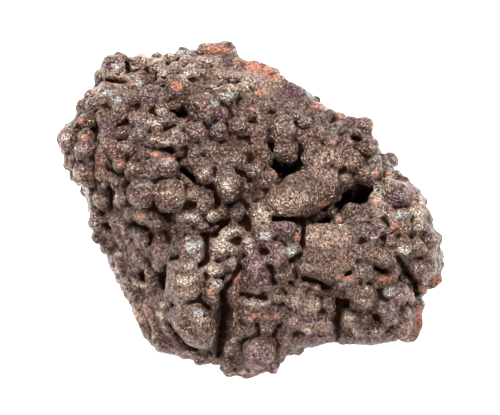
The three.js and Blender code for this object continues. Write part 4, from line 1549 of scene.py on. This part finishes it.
@dataclass(frozen=True)
class GoethiteFinish:
    """The stone's finish: semi-metallic brown crust with purple, rusty and pale stretches.

    Attributes:
        brown: The crust's own colour.
        grey: What it turns to in patches.
        shade: The dark colour painted into hollows and into the creases between grains as painted shade,
            also taken by the dark specks.
        umber: What the crust turns to in darker patches.
        light_speck_and_painted_highlight: The light colour painted on the crests as a painted highlight,
            also taken by the light specks.
        broken: The colour of broken faces.
        earth: What it turns to in patches.
        tints: The colour and strength of each local tint.
        painted_glint: The light colour painted on grains that catch the light, as painted glints.
        grey_patches: Where the crust turns grey.
        umber_patches: Where it darkens.
        painted_highlight_patches: Where the crests take the painted highlight.
        broken_patches: Where broken faces take their colour.
        earth_patches: Where broken faces turn to earth.
        ragged: The unevenness of the tints' rims.
        ragged_pull: How much a tint's own strength fills it in.
        ragged_span: The unevenness at which a tint starts, and at which it is whole.
        grains: The size in metres of the coarse and of the fine grains, and the share of them that glints.
        pepper_size: How many specks there are to a metre.
        light_pepper: The noise at which light specks start and are whole, and their strength.
        dark_pepper: The same for dark specks.
        painted_crease_shade: How strongly painted shade darkens the creases between grains.
        glint_share: How strongly the painted glints lighten the glinting grains.
        painted_hollow_shade: How strongly painted shade darkens the hollows.
        sheen: How metallic the crust is.
        roughness: The roughness of the crust and of dull stretches.
        glint_polish: How much smoother a glinting grain is.
        fine_relief: The height of the fine grains, as a share of the coarse ones'.
        relief: The height of the grains and specks, in metres.
        gloss: The strength of the plain reflection.
    """

    brown: Colour = (0.08, 0.04, 0.027, 1.0)
    grey: Colour = (0.078, 0.055, 0.047, 1.0)
    shade: Colour = (0.012, 0.004, 0.002, 1.0)
    umber: Colour = (0.05, 0.017, 0.011, 1.0)
    light_speck_and_painted_highlight: Colour = (0.2, 0.145, 0.118, 1.0)
    broken: Colour = (0.09, 0.042, 0.025, 1.0)
    earth: Colour = (0.17, 0.07, 0.03, 1.0)
    tints: dict[Tint, tuple[Colour, float]] = field(
        default_factory=lambda: {
            # A broad painted light.
            Tint.LIGHT: ((0.19, 0.125, 0.095, 1.0), 0.85),
            # A darker colour with painted shade.
            Tint.DUSK: ((0.034, 0.013, 0.007, 1.0), 0.9),
            Tint.PURPLE: ((0.07, 0.032, 0.041, 1.0), 0.9),
            # A painted blue-silver highlight.
            Tint.STEEL: ((0.26, 0.28, 0.28, 1.0), 0.8),
            Tint.PALE: ((0.32, 0.26, 0.205, 1.0), 0.75),
            Tint.RUST: ((0.28, 0.08, 0.04, 1.0), 0.7),
        }
    )
    painted_glint: Colour = (0.4, 0.34, 0.29, 1.0)
    grey_patches: Patches = Patches(0.006, 0.4, 0.6)
    umber_patches: Patches = Patches(0.0035, 0.52, 0.62, 0.6)
    painted_highlight_patches: Patches = Patches(0.003, 0.44, 0.6, 0.45)
    broken_patches: Patches = Patches(0.004, 0.25, 0.6)
    earth_patches: Patches = Patches(0.007, 0.48, 0.62, 0.75)
    ragged: Patches = Patches(0.0016, 0.0, 1.0)
    ragged_pull: float = 0.35
    ragged_span: tuple[float, float] = (0.42, 0.78)
    grains: tuple[tuple[float, float], ...] = ((0.00065, 0.07), (0.00035, 0.08))
    pepper_size: float = 1500.0
    light_pepper: tuple[float, float, float] = (0.52, 0.64, 0.55)
    dark_pepper: tuple[float, float, float] = (0.49, 0.38, 0.9)
    painted_crease_shade: float = 0.4
    glint_share: float = 0.22
    painted_hollow_shade: float = 0.95
    sheen: float = 0.75
    roughness: tuple[float, float] = (0.4, 0.9)
    glint_polish: float = 0.15
    fine_relief: float = 0.5
    relief: float = 0.00034
    gloss: float = 0.3

    def material(self) -> bpy.types.Material:
        """Build the material.

        Returns:
            The material.
        """
        material = bpy.data.materials.new("goethite_crust")
        material.use_nodes = True
        material.node_tree.nodes.clear()
        sketch = Sketch(material.node_tree)
        place = sketch.add("TexCoord").outputs["Object"]
        names = ("hollow", "crest", "broken", *(tint.value for tint in Tint))
        masks = {name: sketch.add("Attribute", attribute_name=name).outputs["Fac"] for name in names}
        grain = grain_group()
        coarse, fine = (
            sketch.group(grain, {"Place": place, "Size": size, "Share": share})
            for size, share in self.grains
        )
        specks = {"Vector": place, "Scale": self.pepper_size, "Detail": 3.0, "Roughness": 0.7}
        pepper = sketch.add("TexNoise", specks).outputs["Fac"]
        glint = self._glint(sketch, masks, coarse, fine)

        colour = self._stained(sketch, masks, place)
        colour = self._speckled(sketch, masks, colour, pepper, coarse.outputs["Crease"], glint)

        dull = sketch.math("MAXIMUM", masks["broken"], masks["hollow"])
        dull = sketch.math("MAXIMUM", masks["rust"], dull)
        roughness = sketch.span(dull, 0.0, 1.0, *self.roughness)
        roughness = sketch.math("SUBTRACT", roughness, sketch.math("MULTIPLY", glint, self.glint_polish))
        metallic = sketch.math("MULTIPLY", sketch.math("SUBTRACT", 1.0, dull, clamp=True), self.sheen)
        # Hollows turn fully metallic, so that the dark painted shade colour also darkens their reflection.
        metallic = sketch.math("MAXIMUM", metallic, masks["hollow"])

        height = sketch.math("ADD", pepper, coarse.outputs["Height"])
        fine_height = sketch.math("MULTIPLY", fine.outputs["Height"], self.fine_relief)
        height = sketch.math("ADD", height, fine_height)
        bump = sketch.add("Bump", {"Height": height, "Strength": 1.0, "Distance": self.relief})
        sockets = {
            "Base Color": colour,
            "Roughness": roughness,
            "Metallic": metallic,
            "Normal": bump.outputs["Normal"],
            "Specular IOR Level": self.gloss,
        }
        surface = sketch.add("BsdfPrincipled", sockets)
        sketch.add("OutputMaterial", {"Surface": surface.outputs["BSDF"]})
        return material

    def _stained(self, sketch: Sketch, masks: dict[str, Socket], place: Socket) -> Socket:
        """Colour the crust and the broken faces, with their patches and local tints, and paint a highlight
        on the crests.

        Args:
            sketch: The material's sketch.
            masks: The stone's masks by name.
            place: The place on the stone.

        Returns:
            The colour.
        """
        mottle = mottle_group()
        colour = sketch.mix(self.grey_patches.mask(sketch, mottle, place), self.brown, self.grey)
        colour = sketch.mix(self.umber_patches.mask(sketch, mottle, place), colour, self.umber)
        ragged = self.ragged.mask(sketch, mottle, place)
        # Some tints are painted light, painted shade and painted highlights.
        for tint, (tone, strength) in self.tints.items():
            mask = masks[tint.value]
            reach = sketch.math("ADD", ragged, sketch.math("MULTIPLY", mask, self.ragged_pull))
            share = sketch.math("MULTIPLY", mask, sketch.span(reach, *self.ragged_span))
            colour = sketch.mix(sketch.math("MULTIPLY", share, strength), colour, tone)
        for name, patches, tone in (
            ("broken", self.broken_patches, self.broken),
            ("broken", self.earth_patches, self.earth),
            # A painted highlight on the crests.
            ("crest", self.painted_highlight_patches, self.light_speck_and_painted_highlight),
        ):
            share = sketch.math("MULTIPLY", masks[name], patches.mask(sketch, mottle, place))
            colour = sketch.mix(share, colour, tone)
        return colour

    def _speckled(
        self,
        sketch: Sketch,
        masks: dict[str, Socket],
        colour: Socket,
        pepper: Socket,
        crease: Socket,
        glint: Socket,
    ) -> Socket:
        """Lay light and dark specks, painted shade in the creases between grains, painted glints and painted
        shade in hollows over a colour.

        Args:
            sketch: The material's sketch.
            masks: The stone's masks by name.
            colour: The colour under them.
            pepper: The noise of the specks.
            crease: The creases between grains.
            glint: The grains that catch the light.

        Returns:
            The finished colour.
        """
        low, high, share = self.light_pepper
        colour = sketch.mix(sketch.span(pepper, low, high, 0.0, share), colour, self.light_speck_and_painted_highlight)
        low, high, share = self.dark_pepper
        dark = sketch.span(pepper, low, high, 0.0, share)
        # Painted shade in the creases between grains joins the dark specks.
        dark = sketch.math("MAXIMUM", dark, sketch.math("MULTIPLY", crease, self.painted_crease_shade))
        for share, tone in (
            (dark, self.shade),
            # Painted glints on the chosen grains.
            (sketch.math("MULTIPLY", glint, self.glint_share), self.painted_glint),
            # Painted shade in the hollows.
            (sketch.math("MULTIPLY", masks["hollow"], self.painted_hollow_shade), self.shade),
        ):
            colour = sketch.mix(share, colour, tone)
        return colour

    @staticmethod
    def _glint(
        sketch: Sketch, masks: dict[str, Socket], coarse: bpy.types.Node, fine: bpy.types.Node
    ) -> Socket:
        """Choose the grains that get painted glints: none in hollows, and few off crests, painted highlights
        and pale stretches.

        Args:
            sketch: The material's sketch.
            masks: The stone's masks by name.
            coarse: The coarse grains.
            fine: The fine grains.

        Returns:
            The glinting grains' mask.
        """
        glint = sketch.math("MAXIMUM", coarse.outputs["Glint"], fine.outputs["Glint"])
        out = sketch.math("SUBTRACT", 1.0, masks["hollow"], clamp=True)
        pale_and_highlit = sketch.math("MAXIMUM", masks["pale"], sketch.math("MAXIMUM", masks["steel"], masks["crest"]))
        share = sketch.math("MULTIPLY", out, sketch.span(pale_and_highlit, 0.0, 0.8, 0.1))
        return sketch.math("MULTIPLY", glint, share)


@dataclass
class Stone:
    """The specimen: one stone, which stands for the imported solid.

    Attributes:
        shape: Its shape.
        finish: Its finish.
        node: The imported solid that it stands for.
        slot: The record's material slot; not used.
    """

    shape: StoneShape = field(default_factory=StoneShape)
    finish: GoethiteFinish = field(default_factory=GoethiteFinish)
    node: str = "goethite_specimen"
    slot: str = "goethite"

    def build(self) -> bpy.types.Object:
        """Grow the stone and make its mesh.

        Returns:
            The stone's object.
        """
        vertices, faces, masks = self.shape.build()
        mesh = bpy.data.meshes.new("goethite_stone")
        mesh.vertices.add(len(vertices))
        mesh.vertices.foreach_set("co", (vertices * MM).astype(np.float32).ravel())
        mesh.loops.add(faces.size)
        mesh.loops.foreach_set("vertex_index", faces.astype(np.int32).ravel())
        mesh.polygons.add(len(faces))
        mesh.polygons.foreach_set("loop_start", np.arange(0, faces.size, 4, dtype=np.int32))
        for name, mask in masks.items():
            layer = mesh.attributes.new(name, "FLOAT", "POINT")
            layer.data.foreach_set("value", mask.astype(np.float32))
        mesh.update(calc_edges=True)
        mesh.validate()
        mesh.shade_smooth()
        stone = bpy.data.objects.new("goethite_stone", mesh)
        bpy.context.scene.collection.objects.link(stone)
        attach(stone, "root")
        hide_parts(self.node)
        log.info("stone: %d vertices, %d faces", len(vertices), len(faces))
        return stone

    def dress(self, stone: bpy.types.Object) -> None:
        """Give the stone its finish.

        Args:
            stone: The stone's object.
        """
        stone.data.materials.append(self.finish.material())


@dataclass(frozen=True)
class Lamp:
    """A soft square lamp.

    Attributes:
        name: Its name.
        place: Where it hangs, in metres from the stone's middle.
        side: Its side in metres.
        power: Its power in watts.
        colour: Its light's colour.
    """

    name: str
    place: tuple[float, float, float]
    side: float
    power: float
    colour: tuple[float, float, float] = (1.0, 1.0, 1.0)


@dataclass
class Studio:
    """A pale floor, soft light, and the camera.

    Attributes:
        face: The stone's face frame, which the camera looks straight at.
        lens: The camera's focal length in millimetres.
        scale: How many millimetres of the face the picture is wide.
        aim: The u, v and w that the camera looks at.
        lamps: The lamps.
        lit: The place that the lamps are aimed at, in metres.
        sky: The strength of the even light.
        floor_side: Half the floor's side in metres.
        floor_drop: How far below the stone's base it lies, in metres.
        floor_tone: Its colour.
    """

    face: FaceFrame = FaceFrame()
    lens: float = 200.0
    scale: float = 100.0
    aim: tuple[float, float, float] = (0.0, 0.5, 8.0)
    lamps: tuple[Lamp, ...] = (
        Lamp("key_lamp", (-0.1, 0.36, 0.64), 0.5, 31.0),
        Lamp("front_lamp", (-0.1, -0.62, 0.44), 0.3, 11.0),
        Lamp("side_lamp", (0.6, -0.1, 0.4), 0.4, 4.0),
    )
    lit: tuple[float, float, float] = (0.0, 0.0, 0.02)
    sky: float = 0.2
    floor_side: float = 3.0
    floor_drop: float = 0.0001
    floor_tone: Colour = (0.93, 0.93, 0.93, 1.0)

    SENSOR = 36.0

    def build(self) -> None:
        """Make the floor, the lamps, the world and the camera."""
        self._floor()
        self._world()
        for lamp in self.lamps:
            self._lamp(lamp)
        self._camera()
        bpy.context.scene.view_settings.view_transform = "Standard"

    def _floor(self) -> None:
        """Make the floor."""
        mesh = bpy.data.meshes.new("floor")
        side = self.floor_side
        corners = [(-side, -side), (side, -side), (side, side), (-side, side)]
        mesh.from_pydata([(x, y, -self.floor_drop) for x, y in corners], [], [(0, 1, 2, 3)])
        floor = bpy.data.objects.new("floor", mesh)
        bpy.context.scene.collection.objects.link(floor)
        material = bpy.data.materials.new("pale_floor")
        material.use_nodes = True
        shader = material.node_tree.nodes["Principled BSDF"]
        shader.inputs["Base Color"].default_value = self.floor_tone
        shader.inputs["Roughness"].default_value = 0.9
        shader.inputs["Specular IOR Level"].default_value = 0.1
        mesh.materials.append(material)

    def _world(self) -> None:
        """Light the room evenly."""
        world = bpy.data.worlds.new("studio")
        world.use_nodes = True
        background = world.node_tree.nodes["Background"]
        background.inputs["Color"].default_value = (1.0, 1.0, 1.0, 1.0)
        background.inputs["Strength"].default_value = self.sky
        bpy.context.scene.world = world

    def _lamp(self, lamp: Lamp) -> None:
        """Hang a lamp, aimed at the stone.

        Args:
            lamp: Which lamp.
        """
        light = bpy.data.lights.new(lamp.name, "AREA")
        light.shape = "SQUARE"
        light.size = lamp.side
        light.energy = lamp.power
        light.color = lamp.colour
        holder = bpy.data.objects.new(lamp.name, light)
        holder.location = lamp.place
        self._aim(holder, np.array(self.lit))
        bpy.context.scene.collection.objects.link(holder)

    def _camera(self) -> None:
        """Set up the camera."""
        data = bpy.data.cameras.new("camera")
        data.lens = self.lens
        data.sensor_width = self.SENSOR
        camera = bpy.data.objects.new("camera", data)
        u, v, w = self.aim
        distance = self.scale * self.lens / self.SENSOR
        camera.location = self.face.to_row(u, v, w + distance) * MM
        self._aim(camera, self.face.to_row(u, v, w) * MM)
        bpy.context.scene.collection.objects.link(camera)
        bpy.context.scene.camera = camera

    @staticmethod
    def _aim(thing: bpy.types.Object, target: Array) -> None:
        """Turn a lamp or the camera towards a place.

        Args:
            thing: What to turn.
            target: Where it looks, in metres.
        """
        away = target - np.array(thing.location)
        flat = math.hypot(away[0], away[1])
        thing.rotation_euler = (math.atan2(flat, -away[2]), 0.0, math.atan2(-away[0], away[1]))


def main() -> None:
    """Build the stone and the studio."""
    logging.basicConfig(level=logging.INFO, format="%(name)s: %(message)s")
    stone = Stone(StoneShape())
    stone.dress(stone.build())
    Studio().build()
    log.info("sizes written")


if __name__ == "__main__":
    main()
